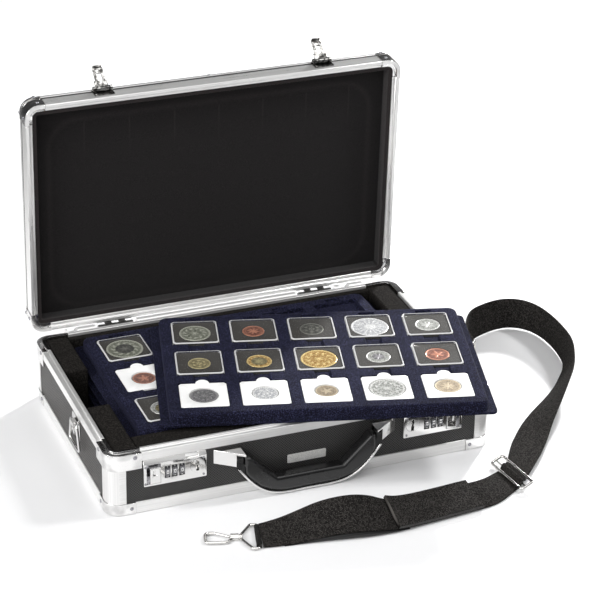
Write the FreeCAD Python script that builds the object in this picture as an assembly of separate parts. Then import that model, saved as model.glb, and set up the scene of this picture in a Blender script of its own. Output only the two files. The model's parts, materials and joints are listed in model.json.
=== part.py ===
import FreeCAD, Part
import os, math
from FreeCAD import Vector as V

os.makedirs("parts", exist_ok=True)

# ------------------------------------------------------------------ driving dimensions (mm)
# Frame: +X right, +Y to the hinge side, +Z up; origin at the centre of the base's underside.
W, D = 424.0, 270.0            # outside of the frames, left-right and front-back
R = 15.0                       # radius of the four upright corners
Z_BOT = 13.0                   # height of the bottom frame
Z_RIM = 60.0                   # underside of the rim frame
Z_LEDGE = 70.0                 # parting ledge on the base rim
Z_TONGUE = 72.0                # top of the tongue inside the ledge
LEDGE = 5.0                    # ledge width
RIM = 8.5                      # whole rim width
Z_LID_GROOVE = 86.0            # groove between the lid's rim and back profiles
Z_LID_BACK = 90.0
Z_TOP = 96.0                   # outside of the closed lid
LID_RIM = 8.0
PANEL = 4.0                    # sheet thickness of the panels
PANEL_SET = 1.0                # how far the panels sit behind the frames
LINER = 3.5                    # felt-faced liner on the walls
HINGE_Y, HINGE_Z = 139.5, 66.0 # hinge axis, along X
LID_OPEN = 87.9                # the lid rests this far open, degrees
POST_X, POST_Y = 192.5, 115.5  # where the corner posts begin
CAST_X, CAST_Y = 176.0, 99.0   # where the rim's corner castings begin
FOOT_X, FOOT_Y = 183.0, 106.0  # where the bottom corner castings begin
LIDC_X, LIDC_Y = 190.0, 113.0  # where the lid's corner castings begin

# trays
TRAY_H, TRAY_PITCH = 14.2, 14.25
TRAY_FX, TRAY_FY, TRAY_FT = 173.5, 108.0, 2.6     # bottom flange half sizes and thickness
TRAY_BX, TRAY_BY = 164.5, 107.0                   # body half sizes
CELL, PX, PY = 50.6, 63.5, 67.5                   # pocket size and pitches
TRAY_Y = 10.0                                     # centre of the stack
TRAY_Z0 = 13.7                                    # underside of the lowest tray
TOP_X, TOP_Y, TOP_YAW, TOP_Z = 51.5, -40.2, -14.96, 72.15
POLE = (-165.4, -211.2)                           # pole of the top tray's swing

# lock
LOCK_X0, LOCK_X1, LOCK_Z0, LOCK_Z1 = 108.5, 175.2, 31.0, 60.0
LOCK_Y = -138.5
DIAL_X, DIAL_Z, DIAL_R, DIAL_AX = (150.2, 142.5, 134.8), 44.5, 11.0, -128.7

# handle
HAND_Y, HAND_Z = -145.0, 49.0

# strap
WEB_W, WEB_T = 38.0, 1.8


# ------------------------------------------------------------------ helpers
def box(x0, y0, z0, x1, y1, z1):
    return Part.makeBox(abs(x1 - x0), abs(y1 - y0), abs(z1 - z0),
                        V(min(x0, x1), min(y0, y1), min(z0, z1)))


def cyl(p, d, r, h):
    return Part.makeCylinder(r, h, V(*p), V(*d))


def rrect(x0, y0, x1, y1, r, z0, z1):
    """upright block with rounded upright corners"""
    k = r * math.sqrt(0.5)
    e = [Part.makeLine(V(x0 + r, y0, z0), V(x1 - r, y0, z0)),
         Part.Arc(V(x1 - r, y0, z0), V(x1 - r + k, y0 + r - k, z0), V(x1, y0 + r, z0)).toShape(),
         Part.makeLine(V(x1, y0 + r, z0), V(x1, y1 - r, z0)),
         Part.Arc(V(x1, y1 - r, z0), V(x1 - r + k, y1 - r + k, z0), V(x1 - r, y1, z0)).toShape(),
         Part.makeLine(V(x1 - r, y1, z0), V(x0 + r, y1, z0)),
         Part.Arc(V(x0 + r, y1, z0), V(x0 + r - k, y1 - r + k, z0), V(x0, y1 - r, z0)).toShape(),
         Part.makeLine(V(x0, y1 - r, z0), V(x0, y0 + r, z0)),
         Part.Arc(V(x0, y0 + r, z0), V(x0 + r - k, y0 + r - k, z0), V(x0 + r, y0, z0)).toShape()]
    return Part.Face(Part.Wire(e)).extrude(V(0, 0, z1 - z0))


def slab(off, z0, z1):
    """the case's outline, moved inwards by off"""
    return rrect(-W / 2 + off, -D / 2 + off, W / 2 - off, D / 2 - off, max(R - off, 2.0), z0, z1)


def ring(o1, o2, z0, z1):
    return slab(o1, z0, z1).cut(slab(o2, z0 - 1, z1 + 1))


def fuse(parts):
    s = parts[0]
    if len(parts) > 1:
        s = s.multiFuse(parts[1:])
        s = s.removeSplitter()
    return s


def comp(parts):
    """group of separate solids"""
    out = []
    for p in parts:
        out += p.Solids
    return Part.makeCompound(out)


def sides(shape, xs, ys):
    """the four straight runs between the corner castings"""
    big = 400
    out = []
    for b in (box(-xs, -big, -10, xs, -D / 4, 120), box(-xs, D / 4, -10, xs, big, 120),
              box(-big, -ys, -10, -W / 4, ys, 120), box(W / 4, -ys, -10, big, ys, 120)):
        out.append(shape.common(b))
    return out


def corners(shape, xs, ys):
    big = 400
    out = []
    for sx in (-1, 1):
        for sy in (-1, 1):
            b = box(sx * xs, sy * ys, -10, sx * big, sy * big, 120)
            out.append(shape.common(b))
    return out


def mx(shape):
    """mirror image across the plane X = 0"""
    return shape.mirror(V(0, 0, 0), V(1, 0, 0))


def wire_path(points, rad, r, closed=True):
    """round wire in one plane: straight runs joined by tangent arcs of radius rad"""
    pts = [V(*p) for p in points]
    n = len(pts)
    edges, ends = [], []
    idx = range(n) if closed else range(1, n - 1)
    arcs = {}
    for i in idx:
        p, a, b = pts[i], pts[i - 1], pts[(i + 1) % n]
        u, w = (a - p), (b - p)
        u.normalize(); w.normalize()
        half = u.getAngle(w) / 2
        t = rad / math.tan(half)
        m = (u + w); m.normalize()
        s, e = p + u * t, p + w * t
        mid = p + m * (rad / math.sin(half) - rad)
        arcs[i] = (s, mid, e)
    if closed:
        order = list(range(n))
        for k, i in enumerate(order):
            j = order[(k + 1) % n]
            edges.append(Part.Arc(*arcs[i]).toShape())
            edges.append(Part.makeLine(arcs[i][2], arcs[j][0]))
    else:
        cur = pts[0]
        for i in idx:
            edges.append(Part.makeLine(cur, arcs[i][0]))
            edges.append(Part.Arc(*arcs[i]).toShape())
            cur = arcs[i][2]
        edges.append(Part.makeLine(cur, pts[-1]))
    path = Part.Wire(edges)
    # start the section in the middle of a straight edge's start point
    e0 = [e for e in edges if e.Curve.TypeId == 'Part::GeomLine'][0]
    if closed:
        k = edges.index(e0)
        path = Part.Wire(edges[k:] + edges[:k])
    p0 = path.OrderedVertexes[0].Point
    tan = e0.tangentAt(e0.FirstParameter)
    prof = Part.Wire(Part.makeCircle(r, e0.valueAt(e0.FirstParameter), tan))
    return path.makePipeShell([prof], True, False)


def hinge_turn(shape, deg):
    """turn about the hinge axis; positive opens the lid"""
    s = shape.copy()
    s.rotate(V(0, HINGE_Y, HINGE_Z), V(-1, 0, 0), deg)
    return s


NODES = {}


def put(name, shape):
    NODES[name] = shape


# ------------------------------------------------------------------ base shell
panel_ring = ring(PANEL_SET, PANEL_SET + PANEL, Z_BOT, Z_RIM)
lock_hole = box(111, -140, 32.5, 173, -125, 59.5)
front = panel_ring.common(box(-POST_X, -200, 0, POST_X, -100, 100)).cut(lock_hole).cut(mx(lock_hole))
put("base_front_panel", front)
put("base_wall_panels", comp([panel_ring.common(box(-POST_X, 100, 0, POST_X, 200, 100)),
                              panel_ring.common(box(-300, -POST_Y, 0, -150, POST_Y, 100)),
                              panel_ring.common(box(150, -POST_Y, 0, 300, POST_Y, 100))]))

posts = ring(0, PANEL_SET + PANEL, Z_BOT, Z_RIM)
put("base_corner_posts", comp(corners(posts, POST_X, POST_Y)))

bottom_frame = ring(0, 5, 0, Z_BOT).fuse(ring(5, 18, 0, 1.5)).removeSplitter()
put("base_bottom_frame", comp(sides(bottom_frame, FOOT_X, FOOT_Y)))
foot_cast = bottom_frame.fuse(ring(-0.6, 0, 0.4, Z_BOT - 0.2)).removeSplitter()
foot_corners = corners(foot_cast, FOOT_X, FOOT_Y)
floor_panel = slab(18, 0, 1.5).fuse(slab(5, 1.5, 4.5)).removeSplitter()
put("base_floor_panel", floor_panel)

rim = ring(0, RIM, Z_RIM, Z_LEDGE).fuse(ring(LEDGE, RIM, Z_LEDGE, Z_TONGUE)).removeSplitter()
rim_runs = sides(rim, CAST_X, CAST_Y)
hinge_x = [(98.0, 138.0), (-138.0, -98.0)]
put("base_rim_frame", comp(rim_runs))
cast = ring(-0.6, 0, 52, Z_LEDGE - 0.3).fuse(rim)
# the casting's tab over the panel stops at the rim's run; the post side wraps down to z 52
tab = ring(0, PANEL_SET, 52, Z_RIM)
cast_c = []
for c, t, o in zip(corners(rim, CAST_X, CAST_Y), corners(tab, CAST_X, CAST_Y),
                   corners(ring(-0.6, 0, 52, Z_LEDGE - 0.3), CAST_X, CAST_Y)):
    t = t.cut(comp(corners(posts, POST_X, POST_Y)))
    cast_c.append(fuse([c, t, o]))
put("base_corner_caps", comp(cast_c + foot_corners))

rivets = []
for sx in (-1, 1):
    for sy in (-1, 1):
        rivets.append(cyl((sx * 183, sy * (D / 2 + 0.6), 65.5), (0, sy, 0), 2.2, 0.9))
        rivets.append(cyl((sx * (W / 2 + 0.6), sy * 107, 65.5), (sx, 0, 0), 2.2, 0.9))
        rivets.append(cyl((sx * 187.5, sy * (D / 2 + 0.6), 6.5), (0, sy, 0), 2.0, 0.8))
        rivets.append(cyl((sx * (W / 2 + 0.6), sy * 110.5, 6.5), (sx, 0, 0), 2.0, 0.8))

# inside of the base: wall liner as five boards, floor cushion, foam blocks
lin = []
x1, y1 = W / 2 - 5, D / 2 - 5
z0, z1 = 4.5, Z_RIM
fl = box(-x1 + 12, -y1, z0, x1 - 12, -y1 + LINER, z1).cut(lock_hole).cut(mx(lock_hole))
lin.append(fl)
lin.append(box(-x1 + 12, y1 - LINER, z0, x1 - 12, y1, z1))
lin.append(box(-x1, -y1 + 12, z0, -x1 + LINER, y1 - 12, z1))
lin.append(box(x1 - LINER, -y1 + 12, z0, x1, y1 - 12, z1))
put("base_wall_liner", comp(lin))
ix, iy = W / 2 - RIM, D / 2 - RIM                    # 203.5, 126.5
foam = [box(-ix + 0.3, -iy + 0.3, 4.5, ix - 0.3, iy - 0.3, TRAY_Z0)]
BX0 = 177.0
g = 0.0
lockpocket = box(110, -130, 31, 174, -114.5, 60.2)
for nm, ya, yb in (("rear", 49.0, iy - 0.3), ("front", -iy + 0.3, -29.0)):
    b = box(BX0, ya, TRAY_Z0, ix - 0.3, yb, 69.8)
    b = b.makeFillet(2.5, [e for e in b.Edges if e.BoundBox.ZMin > 69.7]).common(slab(RIM + 0.3, 0, 80))
    foam += [b, mx(b)]
fs = box(-BX0 + 0.2, -iy + 0.3, TRAY_Z0, BX0 - 0.2, -98.6, 68.0)
foam += [fs.cut(lockpocket).cut(mx(lockpocket)),
         box(-BX0 + 0.2, 118.8, TRAY_Z0, BX0 - 0.2, iy - 0.3, 69.0)]
put("foam_blocks", comp(foam))

# ------------------------------------------------------------------ hinge
SEG = 8.0
knuck_b, knuck_l, pins = [], [], []
leaf_b, leaf_l = [], []
for xa, xb in hinge_x:
    plate_b = box(xa, D / 2, 60.2, xb, D / 2 + 1.2, 63.9)
    plate_l = box(xa, D / 2, 71.5, xb, D / 2 + 1.2, 85.5)
    kb, kl = [plate_b], [plate_l]
    for i in range(5):
        s0, s1 = xa + i * SEG, xa + (i + 1) * SEG - 0.3
        k = cyl((s0, HINGE_Y, HINGE_Z), (1, 0, 0), 3.6, s1 - s0)
        if i % 2 == 0:
            web = box(s0, D / 2, 62.4, s1, HINGE_Y, 65.0).fuse(box(s0, D / 2, 62.4, s1, D / 2 + 1.2, 65.0))
            kb.append(k.fuse(web))
        else:
            web = box(s0, D / 2 + 0.2, 66.0, s1, D / 2 + 1.2, 71.6).fuse(
                box(s0, D / 2 + 0.2, 66.0, s1, HINGE_Y, 67.6))
            kl.append(k.fuse(web))
    kbs, kls = fuse(kb), fuse(kl)
    kbs = kbs.cut(cyl((xa - 1, HINGE_Y, HINGE_Z), (1, 0, 0), 1.5, xb - xa + 2))
    kls = kls.cut(cyl((xa - 1, HINGE_Y, HINGE_Z), (1, 0, 0), 1.56, xb - xa + 2))
    leaf_b.append(kbs); leaf_l.append(kls)
    pins.append(cyl((xa + 0.2, HINGE_Y, HINGE_Z), (1, 0, 0), 1.5, xb - xa - 0.7))
put("hinge_leaves_base", comp(leaf_b))
put("hinge_pins", comp(pins))
lid_parts = {"hinge_leaves_lid": comp(leaf_l)}

# cover rail on the base along the hinge line, interrupted at the hinges
rail = cyl((-175.5, HINGE_Y, HINGE_Z), (1, 0, 0), 5.2, 351)
rail = rail.fuse(box(-175.5, D / 2, 60.4, 175.5, HINGE_Y, HINGE_Z + 1.0)).removeSplitter()
rail = rail.cut(box(-200, D / 2 - 8, 50, 200, D / 2, 90))
for xa, xb in hinge_x:
    rail = rail.cut(box(xa - 4.0, D / 2 - 1, 40, xb + 4.0, 160, 90))
for xn in (-168.5, 153.5):       # trapezoid drain notches
    tz = Part.Face(Part.makePolygon([V(xn - 5.5, 130, 71.5), V(xn + 6.5, 130, 71.5), V(xn + 3.5, 130, 65.5),
                                     V(xn - 3.5, 130, 65.5), V(xn - 5.5, 130, 71.5)])).extrude(V(0, 20, 0))
    rail = rail.cut(tz)
put("hinge_cover_rail", comp([rail]))

# ------------------------------------------------------------------ lid, drawn closed and then opened
lid_rim = ring(0, LID_RIM, Z_LEDGE + 0.05, Z_LID_GROOVE)
lid_rim = lid_rim.cut(ring(4.2, LID_RIM + 0.5, Z_LEDGE - 1, Z_TONGUE + 0.7))
lid_parts["lid_rim_frame"] = comp(sides(lid_rim, LIDC_X, LIDC_Y))
lidcast = lid_rim.fuse(ring(-0.6, 0, Z_LEDGE + 0.4, Z_LID_GROOVE - 0.2)).removeSplitter()
lid_caps = corners(lidcast, LIDC_X, LIDC_Y)
lid_back = ring(0, LID_RIM, Z_LID_BACK, Z_TOP).fuse(ring(1.4, LID_RIM, Z_LID_GROOVE, Z_LID_BACK))
lid_back = lid_back.fuse(ring(LID_RIM, 18, Z_TOP - 1.5, Z_TOP)).removeSplitter()
be = [e for e in slab(0, Z_LID_BACK, Z_TOP).Edges if e.BoundBox.ZMin > Z_TOP - 0.1]
round_top = slab(0, 0, Z_TOP)
round_top = round_top.makeFillet(3.0, [e for e in round_top.Edges if e.BoundBox.ZMin > Z_TOP - 0.1])
lid_parts["lid_back_frame"] = comp(sides(lid_back.common(round_top), LIDC_X, LIDC_Y))
capr = slab(-0.6, 0, Z_TOP + 0.5)
capr = capr.makeFillet(5.0, [e for e in capr.Edges if e.BoundBox.ZMin > Z_TOP + 0.4])
backcast = ring(-0.6, LID_RIM, Z_LID_BACK, Z_TOP).fuse(ring(1.4, LID_RIM, Z_LID_GROOVE, Z_LID_BACK))
backcast = backcast.fuse(ring(-0.6, 18, Z_TOP - 1.5, Z_TOP + 0.5)).removeSplitter().common(capr)
lid_parts["lid_corner_caps"] = comp(lid_caps + corners(backcast, LIDC_X, LIDC_Y))
lid_panel = slab(LID_RIM, 91.0, Z_TOP - 1.5).fuse(slab(18, Z_TOP - 1.5, Z_TOP - 0.7)).removeSplitter()
lid_strip = ring(0.5, 1.35, Z_LID_GROOVE + 0.05, Z_LID_BACK - 0.05)      # dark strip between the two profiles
lid_parts["lid_back_panel"] = comp([lid_panel] + sides(lid_strip, LIDC_X, LIDC_Y))
lin_out = slab(LID_RIM + 0.0, 87.6, 91.0)
wall = ring(LID_RIM, 12.5, 74.0, 87.6)
lidlin = [lin_out]
lx, ly = W / 2 - LID_RIM, D / 2 - LID_RIM
lidlin.append(wall.common(box(-lx + 7.1, -200, 0, lx - 7.1, -50, 200)))
lidlin.append(wall.common(box(-lx + 7.1, 50, 0, lx - 7.1, 200, 200)))
lidlin.append(wall.common(box(-300, -200, 0, -lx + 7.1, 200, 200)))
lidlin.append(wall.common(box(lx - 7.1, -200, 0, 300, 200, 200)))
lid_parts["lid_lining"] = comp(lidlin)
lr = []
for sx in (-1, 1):
    for sy in (-1, 1):
        lr.append(cyl((sx * 197, sy * (D / 2 + 0.6), 92.0), (0, sy, 0), 1.9, 0.8))
        lr.append(cyl((sx * (W / 2 + 0.6), sy * 120, 92.0), (sx, 0, 0), 1.9, 0.8))
        lr.append(cyl((sx * 197, sy * (D / 2 + 0.6), 78.0), (0, sy, 0), 1.9, 0.8))
        lr.append(cyl((sx * (W / 2 + 0.6), sy * 120, 78.0), (sx, 0, 0), 1.9, 0.8))
lr.append(cyl((-3, -D / 2, 92.0), (0, -1, 0), 1.9, 0.7))
lr.append(cyl((-3, D / 2, 92.0), (0, 1, 0), 1.9, 0.7))
lid_parts["lid_rivets"] = comp(lr)

# hasp brackets and hasps, drawn with the lid closed and the hasp hanging down
HASP_X, HASP_Y, HASP_Z, HASP_REST = 124.0, -138.6, 84.6, 142.0


def hasp_pair(sx):
    cx = sx * HASP_X
    br = [box(cx - 11, -D / 2 - 0.9, 75.5, cx + 11, -D / 2, 89.5)]
    for s in (-1, 1):
        lug = box(cx + s * 7.6, -D / 2 - 0.9, HASP_Z - 3.2, cx + s * 10.4, HASP_Y, HASP_Z + 3.2)
        lug = lug.fuse(cyl((cx + min(s * 7.6, s * 10.4), HASP_Y, HASP_Z), (1, 0, 0), 3.2, 2.8))
        br.append(lug)
    b = fuse(br).cut(cyl((cx - 12, HASP_Y, HASP_Z), (1, 0, 0), 1.26, 24))
    b = b.fuse(cyl((cx - 8.5, -D / 2 - 0.9, 78.0), (0, -1, 0), 1.2, 0.7)).fuse(
        cyl((cx + 8.5, -D / 2 - 0.9, 78.0), (0, -1, 0), 1.2, 0.7)).removeSplitter()
    pin = cyl((cx - 11.2, HASP_Y, HASP_Z), (1, 0, 0), 1.2, 22.4)
    h = [cyl((cx - 7.2, HASP_Y, HASP_Z), (1, 0, 0), 2.4, 14.4)]
    h.append(box(cx - 7.2, HASP_Y - 0.8, HASP_Z - 9.5, cx + 7.2, HASP_Y + 0.8, HASP_Z))
    for s in (-1, 1):
        h.append(box(cx + s * 2.6, HASP_Y - 0.8, HASP_Z - 18.5, cx + s * 5.6, HASP_Y + 0.8, HASP_Z - 9.0))
    h.append(box(cx - 5.6, HASP_Y - 0.8, HASP_Z - 25.0, cx + 5.6, HASP_Y + 0.8, HASP_Z - 18.0))
    h.append(box(cx - 4.6, HASP_Y - 1.6, HASP_Z - 27.0, cx + 4.6, HASP_Y + 2.6, HASP_Z - 25.0))
    hs = fuse(h).cut(cyl((cx - 12, HASP_Y, HASP_Z), (1, 0, 0), 1.26, 24))
    hs.rotate(V(cx, HASP_Y, HASP_Z), V(-1, 0, 0), HASP_REST)
    return b, pin, hs


bl, pl, hl = hasp_pair(-1)
brr, pr, hr = hasp_pair(1)
lid_parts["hasp_brackets"] = comp([bl, brr, pl, pr])
lid_parts["hasp_left"] = hl
lid_parts["hasp_right"] = hr
for k, s in lid_parts.items():
    put(k, hinge_turn(s, LID_OPEN))

# ------------------------------------------------------------------ locks


def lock():
    """right-hand lock, at positive x; the left one is its mirror image"""
    x0, x1, z0, z1 = LOCK_X0, LOCK_X1, LOCK_Z0, LOCK_Z1
    p = box(x0, LOCK_Y, z0, x1, -D / 2 + PANEL_SET, z1)
    p = p.makeFillet(1.2, [e for e in p.Edges if abs(e.BoundBox.YLength - (-D / 2 + PANEL_SET - LOCK_Y)) < 1e-6
                           and e.BoundBox.XLength < 1e-6])
    p = p.makeFillet(0.5, [e for e in p.Edges if e.BoundBox.YMax < LOCK_Y + 1e-6])
    bev = Part.Face(Part.makePolygon([V(x0 - 1, LOCK_Y - 1, 55.6), V(x0 - 1, LOCK_Y - 1, z1 + 1),
                                      V(x0 - 1, -135.2, z1 + 1), V(x0 - 1, -135.2, z1), V(x0 - 1, LOCK_Y, 56.6),
                                      V(x0 - 1, LOCK_Y - 1, 55.6)])).extrude(V(x1 - x0 + 2, 0, 0))
    p = p.cut(bev)
    p = p.cut(box(HASP_X - 6.8, -142, 55.4, HASP_X + 6.8, -135.2, 61))           # pocket for the hasp's claw
    p = p.cut(box(157.2, -142, 33.2, 172.2, -133, 56.0))                         # window of the slide
    for x in DIAL_X:
        p = p.cut(box(x - 2.95, -142, 37.6, x + 2.95, -133, 51.4))
        p = p.cut(cyl((x - 2.95, DIAL_AX, DIAL_Z), (1, 0, 0), DIAL_R + 0.5, 5.9))
    p = p.cut(cyl((118.5, -142, 45.5), (0, 1, 0), 7.6, 9))
    b = box(111.6, -D / 2 + PANEL_SET, 33.0, 172.4, -115.2, 58.8)
    for x in DIAL_X:
        b = b.cut(cyl((x - 2.95, DIAL_AX, DIAL_Z), (1, 0, 0), DIAL_R + 0.5, 5.9))
        b = b.cut(box(x - 2.95, -135, 37.6, x + 2.95, -128, 51.4))
    b = b.cut(cyl((DIAL_X[2] - 5, DIAL_AX, DIAL_Z), (1, 0, 0), 1.5, DIAL_X[0] - DIAL_X[2] + 10))
    b = b.cut(cyl((118.5, -142, 45.5), (0, 1, 0), 7.6, 22))
    b = b.cut(box(156.6, -135, 40.0, 172.0, -126, 50.0))                          # room for the slide's foot
    sh = cyl((DIAL_X[2] - 5, DIAL_AX, DIAL_Z), (1, 0, 0), 1.5, DIAL_X[0] - DIAL_X[2] + 10)
    dials = []
    for x in DIAL_X:
        d = cyl((x - 2.6, DIAL_AX, DIAL_Z), (1, 0, 0), DIAL_R, 5.2)
        for k in range(10):                                                      # ten finger notches
            a = math.radians(36 * k + 18)
            d = d.cut(cyl((x - 3, DIAL_AX + (DIAL_R + 0.35) * math.cos(a), DIAL_Z + (DIAL_R + 0.35) * math.sin(a)),
                          (1, 0, 0), 0.9, 6))
        d = d.cut(cyl((x - 4, DIAL_AX, DIAL_Z), (1, 0, 0), 1.56, 8))
        dials.append(d)
    key = cyl((118.5, -138.9, 45.5), (0, 1, 0), 7.5, 18.0)
    kh = box(116.9, -142, 39.4, 120.1, -131, 51.8)
    for zz in (45.6,):
        kh = kh.cut(cyl((115.9, -142, zz), (0, 1, 0), 1.7, 12)).cut(cyl((121.1, -142, zz), (0, 1, 0), 1.7, 12))
    key = key.cut(kh)
    slide = box(157.5, -139.4, 33.6, 168.6, -134.6, 51.6)
    slide = slide.makeFillet(0.8, [e for e in slide.Edges if e.BoundBox.YMax < -139.3])
    slide = slide.cut(cyl((163, -141.6, 42.5), (0, 0, 1), 3.4, 7).common(box(159.5, -145, 36, 166.5, -130, 49)))
    slide = slide.fuse(box(160, -134.7, 42, 166, -127, 48)).removeSplitter()
    scr = []
    for x, z in ((x0 + 3.4, 34.2), (x1 - 1.6, 34.0), (x0 + 3.4, 53.6), (x1 - 1.6, 53.6)):
        s = cyl((x, LOCK_Y, z), (0, -1, 0), 1.25, 0.6)
        scr.append(s)
    return p, b, sh, dials, key, slide, scr


p, b, sh, dials, key, slide, scr = lock()
put("lock_plates", comp([p, mx(p)]))
put("lock_bodies", comp([b, mx(b), sh, mx(sh)]))
for i, d in enumerate(dials):
    put("lock_dial_right_%d" % (i + 1), d)
    put("lock_dial_left_%d" % (i + 1), mx(d))
put("lock_cylinder_right", key)
put("lock_cylinder_left", mx(key))
put("lock_slide_right", slide)
put("lock_slide_left", mx(slide))
put("base_fasteners", comp(rivets + scr + [mx(s) for s in scr]))

put("name_plate_blank", rrect(-19.5, -1, 23.0, 9, 1.2, 0, 0.8))
s = NODES["name_plate_blank"]
s.rotate(V(0, 0, 0), V(1, 0, 0), 90)
s.translate(V(0, -D / 2 + PANEL_SET, 26.0))

# ------------------------------------------------------------------ handle
x_in, x_pk, x_out = 72.0, 80.0, 100.0
yw = -154.5


def bracket():
    q = -D / 2 + PANEL_SET
    tri = Part.Face(Part.makePolygon([V(x_out, q, 41), V(x_in, q, 41), V(x_in, yw, 41), V(x_out, q, 41)]))
    w = tri.extrude(V(0, 0, 16))
    w = w.cut(box(x_in - 1, -170, 40, x_pk, -137.5, 54.4))
    pin = cyl((x_in + 1.0, HAND_Y, HAND_Z), (1, 0, 0), 1.5, x_pk + 2.8 - x_in - 1.0)
    w = w.cut(pin)
    return w, pin


w, pin = bracket()
put("handle_brackets", comp([w, mx(w), pin, mx(pin)]))

outer = [(79.0, 38.2), (66.5, 21.5), (55.3, 10.9), (43.0, 4.2), (31.0, 1.5), (0, 1.2)]
outer = outer + [(-x, z) for x, z in outer[-2::-1]]


def spline(points, y):
    c = Part.BSplineCurve()
    c.interpolate([V(x, y, z) for x, z in points])
    return c


gy = 7.5
so = spline(outer, HAND_Y - gy)
e_out = so.toShape()
inner_pts = [(-66.5, 38.2), (-53.0, 26.0), (-37.0, 18.2), (0, 15.2), (37.0, 18.2), (53.0, 26.0), (66.5, 38.2)]
e_in = spline(inner_pts, HAND_Y - gy).toShape()
T = 2.2
# chrome strip: between the outer curve and the same curve moved inwards
strip_in = [(76.2, 38.2), (64.6, 22.9), (54.1, 12.9), (42.3, 6.4), (30.8, 3.7), (0, 3.4)]
strip_in = strip_in + [(-x, z) for x, z in strip_in[-2::-1]]
e_si = spline(strip_in, HAND_Y - 6.5).toShape()
e_so = spline(outer, HAND_Y - 6.5).toShape()


def closed(e1, e2):
    a, b = e1.Vertexes, e2.Vertexes
    l1 = Part.makeLine(e1.valueAt(e1.LastParameter), e2.valueAt(e2.LastParameter))
    l2 = Part.makeLine(e2.valueAt(e2.FirstParameter), e1.valueAt(e1.FirstParameter))
    return Part.Face(Part.Wire(Part.__sortEdges__([e1, l1, e2, l2])))


e_in_r = spline([(-x, z) for x, z in inner_pts], HAND_Y - gy).toShape()
e_si2 = spline(strip_in, HAND_Y - gy).toShape()
gyi = 4.6
grip = closed(e_si2, e_in_r).extrude(V(0, 2 * gyi, 0))
grip.translate(V(0, gy - gyi, 0))
# the grip's full moulding: straight-sided opening with tight lower corners, all edges well rounded
lobe = [(0, 4.4), (31, 4.9), (44, 8.4), (56, 15.2), (66.5, 26.0), (71.6, 33.0), (71.6, 50.5), (66.0, 50.5), (36.0, 21.3), (0, 21.3)]
lobe = lobe[1:-1] + [(-x, z) for x, z in lobe[-2:0:-1]]
lobe = Part.Face(Part.makePolygon([V(x, HAND_Y - gy, z) for x, z in lobe + [lobe[0]]])).extrude(V(0, 2 * gy, 0))
side_edges = [e for e in lobe.Edges if e.BoundBox.YLength < 0.01]
for fr in (3.6, 2.6, 1.6):
    try:
        rounded = lobe.makeFillet(fr, side_edges)
        if rounded.isValid() and rounded.Volume > 0:
            lobe = rounded
            print("grip edge radius", fr)
            break
    except Exception:
        pass
grip = grip.fuse(lobe).removeSplitter()
trim = closed(e_so, e_si).extrude(V(0, 13.0, 0))
eyes = []
for s in (-1, 1):
    a = s * 73.0
    bq = s * 79.3
    lo, hi = min(a, bq), max(a, bq)
    arm = Part.Face(Part.makePolygon([V(s * 66.5, HAND_Y - 4.6, 38.2), V(s * 73.0, HAND_Y - 4.6, 44.0),
                                      V(s * 73.0, HAND_Y - 4.6, 49.0), V(s * 79.3, HAND_Y - 4.6, 49.0),
                                      V(s * 79.3, HAND_Y - 4.6, 40.0),
                                      V(s * 76.2, HAND_Y - 4.6, 38.2), V(s * 66.5, HAND_Y - 4.6, 38.2)])
                    ).extrude(V(0, 9.2, 0))
    eye = cyl((lo, HAND_Y, HAND_Z), (1, 0, 0), 4.6, hi - lo)
    eyes.append(arm.fuse(eye))
grip = fuse([grip] + eyes).cut(cyl((72.6, HAND_Y, HAND_Z), (1, 0, 0), 1.56, 20)).cut(
    cyl((-92.6, HAND_Y, HAND_Z), (1, 0, 0), 1.56, 20))
put("handle_grip", grip)
put("handle_trim", trim)

# ------------------------------------------------------------------ side rings
RING_X, RING_Y, RING_Z = 215.2, -28.0, 54.0


def side_ring():
    q = W / 2 - PANEL_SET
    pl = rrect(-14, -13.5, 14, 13.5, 5, 0, 1.2)
    pl.rotate(V(0, 0, 0), V(0, 1, 0), 90)
    pl.translate(V(q, -24.0, 45.5))
    # staple that carries the ring
    st = box(q + 1.2, -35.5, 51.6, RING_X + 2.6, -20.5, 56.4).cut(
        box(q - 0.5, -37, 52.4, RING_X + 1.75, -19, 55.6).fuse(box(q - 0.5, -37, 51, q + 1.2, -19, 57)))
    st = box(q + 1.2, -33.0, 51.6, RING_X + 2.9, -23.0, 56.4).cut(
        cyl((RING_X, -40, RING_Z), (0, 1, 0), 1.75, 30))
    pl = pl.fuse(st).removeSplitter()
    for yy, zz in ((-34.5, 37.5), (-13.5, 37.5)):
        pl = pl.fuse(cyl((q + 1.2, yy, zz), (1, 0, 0), 1.8, 0.8))
    pl = pl.removeSplitter()
    r = wire_path([(RING_X, -38.5, RING_Z), (RING_X, -17.5, RING_Z), (RING_X, -10.5, 27.0), (RING_X, -45.5, 27.0)],
                  3.2, 1.5)
    return pl, r


pl, rg = side_ring()
put("ring_plates", comp([pl, mx(pl)]))
put("ring_left", mx(rg))
RING_OUT = 14.0                # the strap's hook holds the right ring this far out, degrees
rg.rotate(V(RING_X, 0, RING_Z), V(0, -1, 0), RING_OUT)
put("ring_right", rg)

# ------------------------------------------------------------------ trays


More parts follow.
